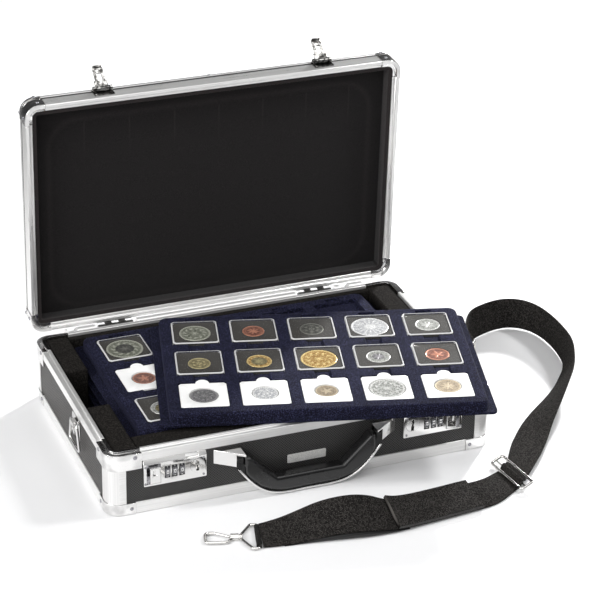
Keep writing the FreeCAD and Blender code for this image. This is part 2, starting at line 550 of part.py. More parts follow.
def holder(x, y, kind, r):
    """one 50 mm square holder: clear box with an insert, or a card; r is the coin's radius"""
    out = {}
    h = 49.8 / 2
    if kind == "capsule":
        z0 = TRAY_H - 5.0                    # the box stands a little above the tray
        b = rrect(x - h, y - h, x + h, y + h, 2.0, z0, z0 + 6.2)
        out["capsule"] = b.cut(rrect(x - h + 1.6, y - h + 1.6, x + h - 1.6, y + h - 1.6, 1.5, z0 + 1.1, z0 + 5.1))
        out["insert"] = rrect(x - h + 1.7, y - h + 1.7, x + h - 1.7, y + h - 1.7, 1.4, z0 + 1.15, z0 + 4.6).cut(
            cyl((x, y, z0), (0, 0, 1), r + 0.1, 8))
        out["coin"] = cyl((x, y, z0 + 1.6), (0, 0, 1), r, 2.6)
    else:
        z0 = TRAY_H - 2.3
        out["card"] = rrect(x - h, y - h, x + h, y + h, 1.0, z0, z0 + 1.8).cut(
            cyl((x, y, z0 - 1), (0, 0, 1), r + 1.6, 4))
        out["coin"] = cyl((x, y, z0 + 0.02), (0, 0, 1), r, 1.7)
    return out


TOP_COINS = [[17.0, 12.0, 13.0, 20.5, 13.5], [12.0, 13.5, 19.5, 13.0, 13.0], [14.0, 13.0, 11.5, 18.5, 13.5]]
LOW_COINS = [[20.0, 15.0, None, None, None], [12.0, 13.0, 14.0, 13.0, 14.0], [14.0, 15.0, 14.0, 15.0, 14.0]]


def place(shape, x, y, z, yaw=0.0):
    s = shape.copy()
    if yaw:
        s.rotate(V(0, 0, 0), V(0, 0, 1), yaw)
    s.translate(V(x, y, z))
    return s


def tray_set(prefix, coins, card_row, x, y, z, yaw):
    flat = card_row
    groups = {"capsule": [], "insert": [], "coin": [], "card": []}
    shell = tray_shell_rows(flat)
    for r in range(3):
        for c in range(5):
            if coins[r][c] is None:          # empty pocket
                continue
            kind = "card" if (r == flat) else "capsule"
            for k, s in holder((c - 2) * PX, (1 - r) * PY, kind, coins[r][c]).items():
                groups[k].append(s)
    put(prefix, place(shell, x, y, z, yaw))
    put(prefix + "_coins", place(comp(groups["coin"]), x, y, z, yaw))
    if prefix == "top_tray":
        put(prefix + "_capsules", place(comp(groups["capsule"] + groups["insert"]), x, y, z, yaw))
        put(prefix + "_cards", place(comp(groups["card"]), x, y, z, yaw))
    else:
        put(prefix + "_holders", place(comp(groups["capsule"] + groups["insert"] + groups["card"]), x, y, z, yaw))


def tray_shell_rows(row):
    t = rrect(-TRAY_FX, -TRAY_FY, TRAY_FX, TRAY_FY, 6, 0, TRAY_FT)
    body = rrect(-TRAY_BX, -TRAY_BY, TRAY_BX, TRAY_BY, 10, 0, TRAY_H)
    body = body.makeFillet(3.6, [e for e in body.Edges if e.BoundBox.ZMin > TRAY_H - 0.1])
    t = t.fuse(body).removeSplitter()
    for r in range(3):
        for c in range(5):
            x, y = (c - 2) * PX, (1 - r) * PY
            zf = TRAY_H - (2.3 if r == row else 5.0 if row < 9 else 8.7)
            t = t.cut(rrect(x - CELL / 2, y - CELL / 2, x + CELL / 2, y + CELL / 2, 1.5, zf, TRAY_H + 1))
    for r in range(3):                       # finger notch in the bar behind each pocket
        for c in range(5):
            x, y = (c - 2) * PX, (1 - r) * PY + CELL / 2
            L = 8.0 if r == 0 else PY - CELL + 0.4
            ya, zb, zt = y - 0.2, TRAY_H - 2.3, TRAY_H + 1.0
            f = Part.Face(Part.makePolygon([V(x - 9.6, ya, zt), V(x + 9.6, ya, zt), V(x + 7.8, ya, zb),
                                            V(x - 7.8, ya, zb), V(x - 9.6, ya, zt)]))
            t = t.cut(f.extrude(V(0, L, 0)))
    return t


def plain_tray(z):
    shell = tray_shell_rows(99)
    hs = []
    for r in range(3):
        for c in range(5):
            x, y = (c - 2) * PX, (1 - r) * PY
            hs.append(rrect(x - 24.9, y - 24.9, x + 24.9, y + 24.9, 3.0, TRAY_H - 8.7, TRAY_H - 2.5))
    return place(shell, 0, TRAY_Y, z), place(comp(hs), 0, TRAY_Y, z)


for i in range(3):
    z = TRAY_Z0 + 0.05 + i * TRAY_PITCH
    a, bb = plain_tray(z)
    put("tray_%d" % (i + 1), comp([a, bb]))
tray_set("tray_4", LOW_COINS, 1, 0, TRAY_Y, TRAY_Z0 + 0.05 + 3 * TRAY_PITCH, 0.0)
tray_set("top_tray", TOP_COINS, 2, TOP_X, TOP_Y, TOP_Z, TOP_YAW)

# ------------------------------------------------------------------ shoulder strap, lying on the surface
# the strap's two edges: P is the edge on the surface, ang the angle of the webbing to the surface
START = [((257.1, 6.2, 8.0), (257.1, 6.2, 46.0)), ((260.8, 18.0, 6.0), (260.8, 18.0, 44.0)),
         ((264.5, 34.0, 3.0), (264.5, 34.0, 41.0))]
RUN1 = [((268, 50), 90), ((278.5, 70), 88), ((295.3, 87.4), 84), ((315.2, 95.7), 85),
        ((332, 100.5), 87), ((346, 99.5), 89), ((357, 94), 90), ((365, 85), 91), ((370, 74), 91),
        ((372.6, 62), 91), ((373.6, 48), 90), ((373.4, 34.2), 89), ((371.8, 20), 87), ((369.3, 6), 84.5),
        ((364.8, -6.7), 80), ((358, -17.5), 74), ((349.4, -28), 67.5), ((339.8, -39.5), 61),
        ((329.5, -50.5), 55), ((311.5, -66.7), 47), ((299, -76.4), 39.5), ((280, -92), 29.5),
        ((258.8, -112), 20.5), ((238.1, -136.6), 12)]
# through the slide buckle: under its outer bars and over the middle one (rear edge, front edge)
THROUGH = [((214.5, -166.5, 3.6), (221.5, -214.5, 5.2)), ((207.0, -175.6, 3.9), (213.4, -223.8, 3.9)),
           ((204.3, -177.3, 7.0), (210.8, -225.8, 7.0)), ((201.6, -178.5, 6.95), (208.4, -227.4, 6.95)),
           ((197.0, -180.8, 1.15), (204.4, -230.0, 1.15)), ((190.6, -183.5, 1.3), (198.6, -233.4, 1.05))]
RUN2 = [((171.0, -244.5), 11), ((147, -247.8), 14), ((112, -251.2), 14),
        ((71.4, -255.2), 16, 1.6), ((48.7, -257.7), 25, 4.5), ((26.5, -257.4), 40, 8.0), ((1.6, -253.2), 52, 8.5),
        ((-23.2, -248.4), 40, 6.0), ((-46, -244.6), 20, 2.6), ((-68.0, -242.0), 10), ((-84.0, -238.6), 5)]


def edges_of(run, side):
    """the two edge points of each section; side turns the level direction off the run"""
    out = []
    n = len(run)
    for i in range(n):
        a, b = run[max(i - 1, 0)][0], run[min(i + 1, n - 1)][0]
        tx, ty = b[0] - a[0], b[1] - a[1]
        L = math.hypot(tx, ty)
        nx, ny = side * -ty / L, side * tx / L
        (x, y), ang = run[i][:2]
        zf = run[i][2] if len(run[i]) > 2 else 1.05
        q = math.radians(ang)
        lo = V(x, y, zf)
        hi = V(x + WEB_W * math.cos(q) * nx, y + WEB_W * math.cos(q) * ny, zf + WEB_W * math.sin(q))
        out.append((lo, hi, V(tx / L, ty / L, 0)))
    return out


def band(edges, t, dn=0.0):
    """solid of thickness t about the surface between the edge points, as one ruled loft"""
    wires = []
    for lo, hi, tan in edges:
        w = hi - lo
        nrm = w.cross(tan)
        nrm.normalize()
        a, b = nrm * (t / 2), nrm * (-t / 2)
        wires.append(Part.makePolygon([lo + a, hi + a, hi + b, lo + b, lo + a]))
    return Part.makeLoft(wires, True, True)


e1 = [(V(*lo), V(*hi), V(0.36, 0.93, 0)) for lo, hi in START] + edges_of(RUN1, 1)
et = []
for lo, hi in THROUGH:
    et.append((V(*lo), V(*hi), V(-0.975, -0.222, 0)))
e2 = [(hi, lo, tan) for lo, hi, tan in edges_of(RUN2, -1)]
web = e1 + et + e2
put("strap_webbing", band(web, WEB_T))
s = NODES["strap_webbing"]
print("webbing volume", round(s.Volume), "zmin", round(s.BoundBox.ZMin, 3), "valid", s.isValid())
mids = [(a + b) * 0.5 for a, b, c in web]
print("strap centre line length", round(sum((mids[i + 1] - mids[i]).Length for i in range(len(mids) - 1)), 1))

# slide buckle: a rectangular wire loop with a middle bar, tilted with the webbing
U1, U2 = V(209.0, -170.6, 8.4), V(215.8, -228.6, 8.4)
L1, L2 = V(194.6, -174.4, 4.2), V(201.4, -232.4, 4.2)
buckle = wire_path([tuple(U1), tuple(U2), tuple(L2), tuple(L1)], 3.5, 1.6)
M1, M2 = (U1 + L1) * 0.5, (U2 + L2) * 0.5
md = M2 - M1
bar = Part.makeCylinder(0.9, md.Length, M1 - V(0, 0, 2.1), md).cut(buckle)
bar = max(bar.Solids, key=lambda q: q.Volume)
put("strap_slide_buckle", comp([buckle, bar]))

# shoulder pad: a soft slab lying on the front run of webbing
def pad_solid(t=4.0, gap=0.25):
    wires = []
    for k, (lo, hi, tan) in enumerate(e2[1:5], 1):
        w = (hi - lo)
        n = w.cross(tan)
        n.normalize()
        if n.z < 0:
            n = n * -1
        d = V(w.x, w.y, w.z)
        d.normalize()
        c = n * (WEB_T / 2 + (gap if k < 4 else 1.1))
        a, b = lo - d * 0.8 + c, hi + d * 0.8 + c
        if k == 4:                           # the pad stops part of the way to the next section
            a, b = wires_last[0] + (a - wires_last[0]) * 0.55, wires_last[1] + (b - wires_last[1]) * 0.8
        wires_last = (a, b)
        u = n * t
        wires.append(Part.makePolygon([a, b, b + u, a + u, a]))
    return Part.makeLoft(wires, True, True)


put("strap_pad", pad_solid())

# ------------------------------------------------------------------ snap hooks


def snap(name, origin, u, v, wz):
    o, u, v, n = V(*origin), V(*u), V(*v), V(*wz)

    def q(a, b, c=0.0):
        r = o + u * a + v * b + n * c
        return (r.x, r.y, r.z)
    loop = wire_path([q(-13.5, -21.5), q(-13.5, 21.5), q(-7.0, 21.5), q(3.0, 4.5), q(3.0, -4.5), q(-7.0, -21.5)],
                     2.0, 1.5)
    # the loop carries a short collar that the hook's barrel turns in
    collar = cyl(q(2.2, 0), tuple(u), 2.9, 3.4)
    post = cyl(q(5.0, 0), tuple(u), 1.1, 4.2)
    head = cyl(q(9.0, 0), tuple(u), 2.0, 1.4)
    loop = fuse([loop, collar, post, head])
    # hook: collar ring round the post, open body and nose
    barrel = cyl(q(5.9, 0), tuple(u), 3.0, 2.8).cut(cyl(q(5.0, 0), tuple(u), 1.16, 5.0))
    yoke = cyl(q(5.9, 0), tuple(u), 3.6, 9.6).cut(cyl(q(5.0, 0), tuple(u), 2.4, 8.2)).fuse(
        barrel)
    yoke = fuse([barrel, cyl(q(5.9, 0), tuple(u), 3.8, 8.0).cut(cyl(q(5.8, 0), tuple(u), 2.5, 6.4))])
    body = wire_path([q(12.6, -2.2), q(17.0, -8.6), q(39.0, -8.6), q(39.0, 8.6), q(30.0, 8.6)], 4.2, 1.6, closed=False)
    hk = fuse([yoke, body])
    hinge = cyl(q(18.8, -1.0, -2.4), tuple(n), 1.1, 4.8)
    g0 = q(14.9, 1.2)
    g1 = q(28.9, 8.6)
    d = V(*g1) - V(*g0)
    gate = Part.makeCylinder(1.25, d.Length, V(*g0), d)
    return loop, hk, gate, q


def unit(x, y, z=0.0):
    l = math.sqrt(x * x + y * y + z * z)
    return (x / l, y / l, z / l)


# left hook: lies flat on the surface in front of the case
ul = unit(-0.962, 0.272)
vl = (-ul[1], ul[0], 0)
loopL, hookL, gateL, qL = snap("left", (-96.0, -215.5, 2.0), ul, (ul[1], -ul[0], 0), (0, 0, 1))
loopL.translate(V(0, 0, 0))
put("snap_hook_left", hookL)
put("snap_gate_left", gateL)

# right hook: clipped to the ring on the case's right side, in an upright plane
ur = unit(-0.74, -0.67, 0.0)
o_r = (RING_X + 6.5 - 33 * ur[0], RING_Y - 33 * ur[1], 27.0)
vr = unit(-0.0, 0.0, 1.0)
nr = V(*ur).cross(V(*vr)); nr.normalize()
vr2 = nr.cross(V(*ur)); vr2.normalize()
loopR, hookR, gateR, qR = snap("right", o_r, ur, (vr2.x, vr2.y, vr2.z), (nr.x, nr.y, nr.z))
put("strap_loops", comp([loopL, loopR]))
put("snap_hook_right", hookR)
put("snap_gate_right", gateR)

# ------------------------------------------------------------------ export
for name, shape in NODES.items():
    shape.exportStep("parts/%s.step" % name)
print(len(NODES), "nodes")
bad = [n for n, s in NODES.items() if not s.isValid() or s.Volume <= 0]
print("invalid:", bad)
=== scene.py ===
import math, json, random
import bpy, bmesh
from mathutils import Vector, Matrix, noise


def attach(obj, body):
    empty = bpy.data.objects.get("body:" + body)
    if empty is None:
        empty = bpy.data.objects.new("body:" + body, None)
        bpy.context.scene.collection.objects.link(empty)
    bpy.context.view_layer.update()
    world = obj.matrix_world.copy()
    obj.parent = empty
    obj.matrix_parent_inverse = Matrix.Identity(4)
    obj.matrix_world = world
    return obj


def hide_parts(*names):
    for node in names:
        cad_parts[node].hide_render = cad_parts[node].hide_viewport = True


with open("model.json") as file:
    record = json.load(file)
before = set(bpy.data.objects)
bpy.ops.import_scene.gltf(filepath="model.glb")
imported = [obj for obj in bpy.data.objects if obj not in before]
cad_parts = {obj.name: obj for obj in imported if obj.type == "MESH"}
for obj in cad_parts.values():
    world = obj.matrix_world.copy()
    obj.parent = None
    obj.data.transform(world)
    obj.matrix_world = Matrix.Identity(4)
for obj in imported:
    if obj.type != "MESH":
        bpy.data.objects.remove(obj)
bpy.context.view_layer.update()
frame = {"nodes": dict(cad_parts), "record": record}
NODES = frame["nodes"]
random.seed(7)
MM = 0.001


# ------------------------------------------------------------------ camera
cam_data = bpy.data.cameras.new("view_camera")
cam = bpy.data.objects.new("view_camera", cam_data)
bpy.context.collection.objects.link(cam)
cam_data.sensor_width = 36.0
cam_data.lens = 2309.6 * 36.0 / 600.0
cam_data.clip_start, cam_data.clip_end = 0.05, 60.0
RIGHT = Vector((0.93184348, -0.36250095, 0.0161487))
DOWN = Vector((-0.15293873, -0.43272281, -0.88845974))
FORE = Vector((0.32905542, 0.82543566, -0.45867036))
cm = Matrix((RIGHT, -DOWN, -FORE)).transposed().to_4x4()
cm.translation = Vector((-0.76323, -2.02684, 1.26379))
cam.matrix_world = cm
bpy.context.scene.camera = cam


# ------------------------------------------------------------------ material helpers
class Mat:
    """a principled material with a few nodes added by name"""

    def __init__(s, name, base, metal=0.0, rough=0.5, **kw):
        s.m = bpy.data.materials.new(name)
        s.m.use_nodes = True
        s.t = s.m.node_tree
        s.p = s.t.nodes["Principled BSDF"]
        s.set(s.p, "Base Color", (*base, 1.0))
        s.set(s.p, "Metallic", metal)
        s.set(s.p, "Roughness", rough)
        for k, v in kw.items():
            s.set(s.p, k.replace("_", " "), v)
        s.co = s.add("ShaderNodeTexCoord").outputs["Object"]
        s.height = None

    def set(s, node, key, v):
        if isinstance(v, bpy.types.NodeSocket):
            s.t.links.new(v, node.inputs[key])
        else:
            node.inputs[key].default_value = v

    def add(s, kind, props=None, **inputs):
        n = s.t.nodes.new(kind)
        for k, v in (props or {}).items():
            setattr(n, k, v)
        for k, v in inputs.items():
            s.set(n, k.replace("_", " "), v)
        return n

    def math(s, op, a, b=0.0, c=None):
        n = s.t.nodes.new("ShaderNodeMath")
        n.operation = op
        s.set(n, 0, a)
        s.set(n, 1, b)
        if c is not None:
            s.set(n, 2, c)
        return n.outputs[0]

    def vmath(s, op, a, b):
        n = s.t.nodes.new("ShaderNodeVectorMath")
        n.operation = op
        s.set(n, 0, a)
        if isinstance(b, (int, float)):
            b = (b, b, b)
        s.set(n, 1, b)
        return n.outputs[0]

    def noise(s, scale, detail=2.0, vec=None, rough=0.5):
        n = s.add("ShaderNodeTexNoise", Scale=scale, Detail=detail, Roughness=rough)
        s.set(n, "Vector", s.co if vec is None else vec)
        return n.outputs["Fac"]

    def ramp(s, fac, stops):
        n = s.t.nodes.new("ShaderNodeValToRGB")
        s.set(n, "Fac", fac)
        e = n.color_ramp.elements
        while len(e) < len(stops):
            e.new(0.5)
        for el, (p, c) in zip(e, stops):
            el.position = p
            el.color = (*c, 1.0) if len(c) == 3 else c
        return n.outputs["Color"]

    def remap(s, fac, a, b, c, d):
        n = s.add("ShaderNodeMapRange")
        s.set(n, 0, fac)
        for i, v in enumerate((a, b, c, d)):
            n.inputs[1 + i].default_value = v
        return n.outputs[0]

    def bump(s, h, dist, strength=1.0):
        n = s.add("ShaderNodeBump", Strength=strength, Distance=dist)
        s.set(n, "Height", h)
        if s.height is not None:
            s.set(n, "Normal", s.height)
        s.height = n.outputs["Normal"]
        s.set(s.p, "Normal", s.height)
        return s

    def color(s, c):
        s.set(s.p, "Base Color", c)
        return s

    def rough(s, r):
        s.set(s.p, "Roughness", r)
        return s


def brushed(name, base, rough, side="y", strength=0.25):
    """satin metal profile, brushed along its run: x runs, and beyond |x| = 0.2 the side runs"""
    m = Mat(name, base, 0.72, rough)
    sep = m.add("ShaderNodeSeparateXYZ", Vector=m.co)
    far = m.math("GREATER_THAN", m.math("ABSOLUTE", sep.outputs[0]), 0.2)
    ax = m.vmath("MULTIPLY", m.co, (8.0, 1400.0, 1400.0))
    bx = m.vmath("MULTIPLY", m.co, {"y": (1400.0, 8.0, 1400.0), "z": (1400.0, 1400.0, 8.0)}[side])
    mix = m.add("ShaderNodeMix", {"data_type": "VECTOR"})
    m.set(mix, 0, far)
    m.set(mix, 4, ax)
    m.set(mix, 5, bx)
    v = mix.outputs[1]
    st = m.noise(1.0, 3.0, v)
    m.bump(st, 0.00004, strength)
    cloud = m.noise(14.0, 3.0)
    m.rough(m.remap(m.math("ADD", m.math("MULTIPLY", st, 0.5), m.math("MULTIPLY", cloud, 0.5)), 0.3, 0.7, rough - 0.06, rough + 0.08))
    k = [(0.0, tuple(c * 0.86 for c in base)), (1.0, tuple(min(1, c * 1.05) for c in base))]
    m.color(m.ramp(m.remap(st, 0.25, 0.75, 0.0, 1.0), k))
    return m.m


def polished(name, base, rough, smudge=0.05):
    m = Mat(name, base, 1.0, rough)
    n = m.noise(60.0, 4.0)
    m.rough(m.remap(n, 0.35, 0.75, rough, rough + smudge))
    m.bump(m.noise(300.0, 2.0), 0.00003, 0.12)
    return m.m


def panel(name, lo, hi, rough=0.42):
    """sheet with a fine raised diamond pattern"""
    m = Mat(name, lo, 0.0, rough, Specular_IOR_Level=0.5)
    sep = m.add("ShaderNodeSeparateXYZ", Vector=m.co)
    # position along the wall: x + y covers both the front and the side walls
    u = m.math("ADD", sep.outputs[0], sep.outputs[1])
    w = sep.outputs[2]
    k = 1.0 / 0.0030
    a = m.math("MULTIPLY", m.math("ADD", u, w), k)
    b = m.math("MULTIPLY", m.math("SUBTRACT", u, w), k)
    ta = m.math("ABSOLUTE", m.math("SUBTRACT", m.math("FRACT", a), 0.5))
    tb = m.math("ABSOLUTE", m.math("SUBTRACT", m.math("FRACT", b), 0.5))
    h = m.math("MAXIMUM", ta, tb)
    ridge = m.remap(h, 0.33, 0.46, 0.0, 1.0)
    m.bump(ridge, 0.00022, 0.8)
    m.bump(m.noise(2600.0, 2.0), 0.00004, 0.3)
    # painted highlight: the raised ridges are coloured lighter than the sheet
    m.color(m.ramp(ridge, [(0.0, lo), (1.0, hi)]))
    m.rough(m.remap(ridge, 0.0, 1.0, rough + 0.1, rough - 0.06))
    return m.m


def fuzzy(name, base, edge, rough=0.95, sheen=0.9, scale=1500.0, tint=None, stops=(0.30, 0.58, 0.80)):
    m = Mat(name, base, 0.0, rough, Sheen_Weight=sheen, Sheen_Roughness=0.45, Specular_IOR_Level=0.15)
    m.p.inputs["Sheen Tint"].default_value = (*(tint or edge), 1.0)
    n = m.noise(scale, 3.0)
    big = m.noise(22.0, 3.0)
    f = m.math("ADD", m.math("MULTIPLY", n, 0.95), m.math("MULTIPLY", big, 0.12))
    m.color(m.ramp(f, [(stops[0], tuple(c * 0.55 for c in base)), (stops[1], base), (stops[2], edge)]))
    m.bump(n, 0.00045, 0.55)
    return m.m


M_ALU = brushed("aluminium_base", (0.90, 0.895, 0.885), 0.36)
M_ALU_LID = brushed("aluminium_lid", (0.86, 0.855, 0.845), 0.30, "z")
M_POST = brushed("aluminium_post", (0.88, 0.875, 0.865), 0.34, "z")
M_CHROME = polished("chrome", (0.80, 0.795, 0.785), 0.06)
M_CAST = polished("bright_casting", (0.84, 0.835, 0.825), 0.12, 0.06)
def painted_reflection_and_crevice_shade(name, lo, hi, rough, scale):
    m = Mat(name, hi, 1.0, rough)
    # painted reflection: noise flecks darken the metal's colour where dark surroundings would be mirrored
    n = m.noise(scale, 2.0)
    # painted shade: ambient occlusion darkens the colour in crevices and between parts
    crevice_shade = m.add("ShaderNodeAmbientOcclusion", {"samples": 4}, Distance=0.004).outputs["AO"]
    f = m.math("MULTIPLY", m.remap(n, 0.40, 0.60, 0.0, 1.0), m.remap(crevice_shade, 0.45, 0.95, 0.25, 1.0))
    m.color(m.ramp(f, [(0.0, lo), (0.55, tuple(0.5 * (a + b) for a, b in zip(lo, hi))), (1.0, hi)]))
    m.rough(m.remap(m.noise(80.0, 3.0), 0.35, 0.7, rough, rough + 0.08))
    return m.m


M_HASP = painted_reflection_and_crevice_shade("hasp_chrome", (0.06, 0.058, 0.055), (0.72, 0.71, 0.69), 0.10, 210.0)
M_CAP = painted_reflection_and_crevice_shade("cap_chrome", (0.66, 0.655, 0.65), (0.96, 0.955, 0.945), 0.12, 60.0)
# painted dark reflection: the hinge leaves get a darker copy of the plated steel
M_HINGE = polished("hinge_steel", (0.11, 0.108, 0.105), 0.30, 0.12)
M_STEEL = polished("plated_steel", (0.36, 0.36, 0.38), 0.25, 0.1)
M_GUN = polished("polished_hardware", (0.66, 0.65, 0.63), 0.13, 0.08)
# the front, lid and wall panels are one sheet; the walls' lighter copy is painted light
M_FRONT = panel("front_panel", (0.0018, 0.0017, 0.0017), (0.070, 0.068, 0.066))
M_WALL = panel("wall_panel", (0.006, 0.0056, 0.0052), (0.072, 0.066, 0.060))
M_VELVET = fuzzy("navy_flock", (0.0040, 0.0042, 0.0130), (0.038, 0.040, 0.092), sheen=0.08, scale=900.0, tint=(0.30, 0.32, 0.56),
                 stops=(0.44, 0.54, 0.72))
def lining_mat():
    m = Mat("lid_felt", (0.01, 0.009, 0.009), 0.0, 0.95, Sheen_Weight=0.15, Sheen_Roughness=0.5, Specular_IOR_Level=0.12)
    n = m.noise(1100.0, 3.0)
    sep = m.add("ShaderNodeSeparateXYZ", Vector=m.co)
    x, y, z = sep.outputs[0], sep.outputs[1], sep.outputs[2]
    front = m.remap(y, 0.1485, 0.1515, 1.0, 0.0)
    # rounded outline pressed into the back felt
    qx = m.math("MAXIMUM", m.math("SUBTRACT", m.math("ABSOLUTE", x), 0.150), 0.0)
    qz = m.math("MAXIMUM", m.math("SUBTRACT", m.math("ABSOLUTE", m.math("SUBTRACT", z, 0.2005)), 0.078), 0.0)
    d = m.math("SQRT", m.math("ADD", m.math("MULTIPLY", qx, qx), m.math("MULTIPLY", qz, qz)))
    ring = m.remap(m.math("ABSOLUTE", m.math("SUBTRACT", d, 0.034)), 0.0008, 0.005, 1.0, 0.0)
    # faint upright seams near the top
    s1 = m.math("ABSOLUTE", m.math("SUBTRACT", m.math("FRACT", m.math("MULTIPLY", m.math("ADD", x, 0.018), 1.0 / 0.0505)), 0.5))
    seam = m.math("MULTIPLY", m.remap(s1, 0.0, 0.03, 1.0, 0.0), m.remap(z, 0.262, 0.300, 0.0, 1.0))
    seam = m.math("MULTIPLY", seam, m.remap(z, 0.306, 0.310, 1.0, 0.0))
    # painted highlight: the pressed outline and the seams are coloured lighter as well as raised
    lift = m.math("ADD", m.math("MULTIPLY", ring, 0.10), m.math("MULTIPLY", seam, 0.14))
    f = m.math("ADD", m.math("ADD", m.math("MULTIPLY", front, 0.30), lift), m.math("MULTIPLY", n, 0.5))
    m.color(m.ramp(f, [(0.10, (0.0035, 0.0032, 0.0033)), (0.30, (0.0105, 0.0092, 0.0094)), (0.62, (0.026, 0.0215, 0.0215)),
                       (0.95, (0.050, 0.042, 0.041))]))
    m.bump(n, 0.0004, 0.45)
    m.bump(lift, 0.0012, 0.5)
    return m.m


M_LINING = lining_mat()
M_LINER = fuzzy("wall_felt", (0.006, 0.0055, 0.0055), (0.013, 0.012, 0.012), sheen=0.2)


def foam_mat():
    m = Mat("cut_foam", (0.012, 0.011, 0.0105), 0.0, 0.95, Specular_IOR_Level=0.08)
    v = m.add("ShaderNodeTexVoronoi", Scale=700.0, Vector=m.co)
    n = m.noise(1800.0, 3.0)
    f = m.math("ADD", m.math("MULTIPLY", v.outputs["Distance"], 0.7), m.math("MULTIPLY", n, 0.5))
    m.color(m.ramp(f, [(0.15, (0.0015, 0.0014, 0.0013)), (0.5, (0.007, 0.0063, 0.0058)), (0.85, (0.026, 0.0235, 0.021))]))
    m.bump(f, 0.0006, 0.6)
    return m.m


def plastic(name, base, rough, grain=900.0, depth=0.00006, spec=0.5, coat=0.0):
    m = Mat(name, base, 0.0, rough, Specular_IOR_Level=spec, Coat_Weight=coat, Coat_Roughness=0.12)
    n = m.noise(grain, 3.0)
    m.bump(n, depth, 0.5)
    m.rough(m.remap(m.noise(35.0, 3.0), 0.3, 0.7, rough - 0.05, rough + 0.07))
    m.color(m.ramp(n, [(0.3, tuple(c * 0.8 for c in base)), (0.7, tuple(min(1, c * 1.15) for c in base))]))
    return m.m


M_FOAM = foam_mat()
M_BLACK = plastic("black_moulding", (0.0075, 0.0074, 0.0076), 0.27, 1400.0, 0.00003, 0.6)
M_PLATE = plastic("plain_plate", (0.62, 0.615, 0.60), 0.4, 900.0, 0.0001, 0.6)
M_BOARD = plastic("base_board", (0.012, 0.012, 0.012), 0.5)
M_INSERT = plastic("holder_insert", (0.026, 0.023, 0.019), 0.75, 1500.0, 0.00008, 0.25)


def card_mat():
    m = Mat("card_white", (0.88, 0.88, 0.86), 0.0, 0.62, Specular_IOR_Level=0.3)
    n = m.noise(700.0, 4.0)
    m.color(m.ramp(n, [(0.2, (0.90, 0.90, 0.885)), (0.8, (0.96, 0.96, 0.95))]))
    m.bump(n, 0.00003, 0.4)
    return m.m


M_CARD = card_mat()


def clear_mat(name, alpha, base=(0.95, 0.96, 0.97), rough=0.05):
    m = Mat(name, base, 0.0, rough, Alpha=alpha, Specular_IOR_Level=0.6)
    n = m.noise(40.0, 3.0)
    m.rough(m.remap(n, 0.35, 0.75, rough, rough + 0.06))
    m.bump(m.noise(180.0, 2.0), 0.00004, 0.15)
    m.m.use_backface_culling = False
    return m.m


M_CLEAR = clear_mat("clear_lid", 0.035)
# painted highlight: the rims of the clear boxes get a whitish, half-opaque material for the light caught in their edges
M_CLEAR_EDGE_HIGHLIGHT = clear_mat("clear_edge_highlight", 0.62, (1.0, 1.0, 1.0), 0.10)

SLOT_MAT = {
    "base_front_panel": M_FRONT, "base_wall_panels": M_WALL, "base_floor_panel": M_BOARD, "base_corner_posts": M_POST,
    "base_bottom_frame": M_ALU, "base_rim_frame": M_ALU, "base_corner_caps": M_CAP, "base_fasteners": M_STEEL,
    "base_wall_liner": M_LINER, "foam_blocks": M_FOAM, "hinge_leaves_base": M_HINGE, "hinge_pins": M_STEEL,
    "hinge_cover_rail": M_ALU, "hinge_leaves_lid": M_HINGE, "lid_rim_frame": M_ALU_LID, "lid_back_frame": M_ALU_LID,
    "lid_corner_caps": M_CAP, "lid_back_panel": M_FRONT, "lid_lining": M_LINING, "lid_rivets": M_STEEL,
    "hasp_brackets": M_HASP, "hasp_left": M_HASP, "hasp_right": M_HASP, "lock_plates": M_CHROME,
    "lock_bodies": M_STEEL, "lock_cylinder_left": M_CHROME, "lock_cylinder_right": M_CHROME,
    "lock_slide_left": M_CHROME, "lock_slide_right": M_CHROME, "name_plate_blank": M_PLATE,
    "handle_brackets": M_CHROME, "handle_grip": M_BLACK, "handle_trim": M_CHROME, "ring_plates": M_CHROME,
    "ring_left": M_CHROME, "ring_right": M_CHROME, "tray_1": M_VELVET, "tray_2": M_VELVET, "tray_3": M_VELVET,
    "tray_4": M_VELVET, "top_tray": M_VELVET, "strap_slide_buckle": M_GUN, "strap_loops": M_GUN,
    "snap_hook_left": M_GUN, "snap_hook_right": M_GUN, "snap_gate_left": M_GUN, "snap_gate_right": M_GUN,
}
for side in ("left", "right"):
    for i in (1, 2, 3):
        SLOT_MAT["lock_dial_%s_%d" % (side, i)] = M_CHROME
for name, mt in SLOT_MAT.items():
    o = NODES[name]
    for s in o.material_slots:
        s.material = mt

REC_SLOT = {s["node"]: s["material_slot"] for s in frame["record"]["subparts"]}
BODY_OF = {}
for b, names in frame["record"]["behaviour"]["bodies"].items():
    for n in names:
        BODY_OF[n] = b


# ------------------------------------------------------------------ mesh helpers
def new_obj(name, verts, faces, mats, body, idx=None, smooth=True, angle=35.0):
    me = bpy.data.meshes.new(name)
    me.from_pydata([tuple(v) for v in verts], [], faces)
    if not isinstance(mats, (list, tuple)):
        mats = [mats]
    for m in mats:
        me.materials.append(m)
    if idx is not None:
        me.polygons.foreach_set("material_index", idx)
    me.update()
    o = bpy.data.objects.new(name, me)
    bpy.context.collection.objects.link(o)
    if smooth:
        me.shade_smooth()
        me.set_sharp_from_angle(angle=math.radians(angle))
    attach(o, body)
    return o


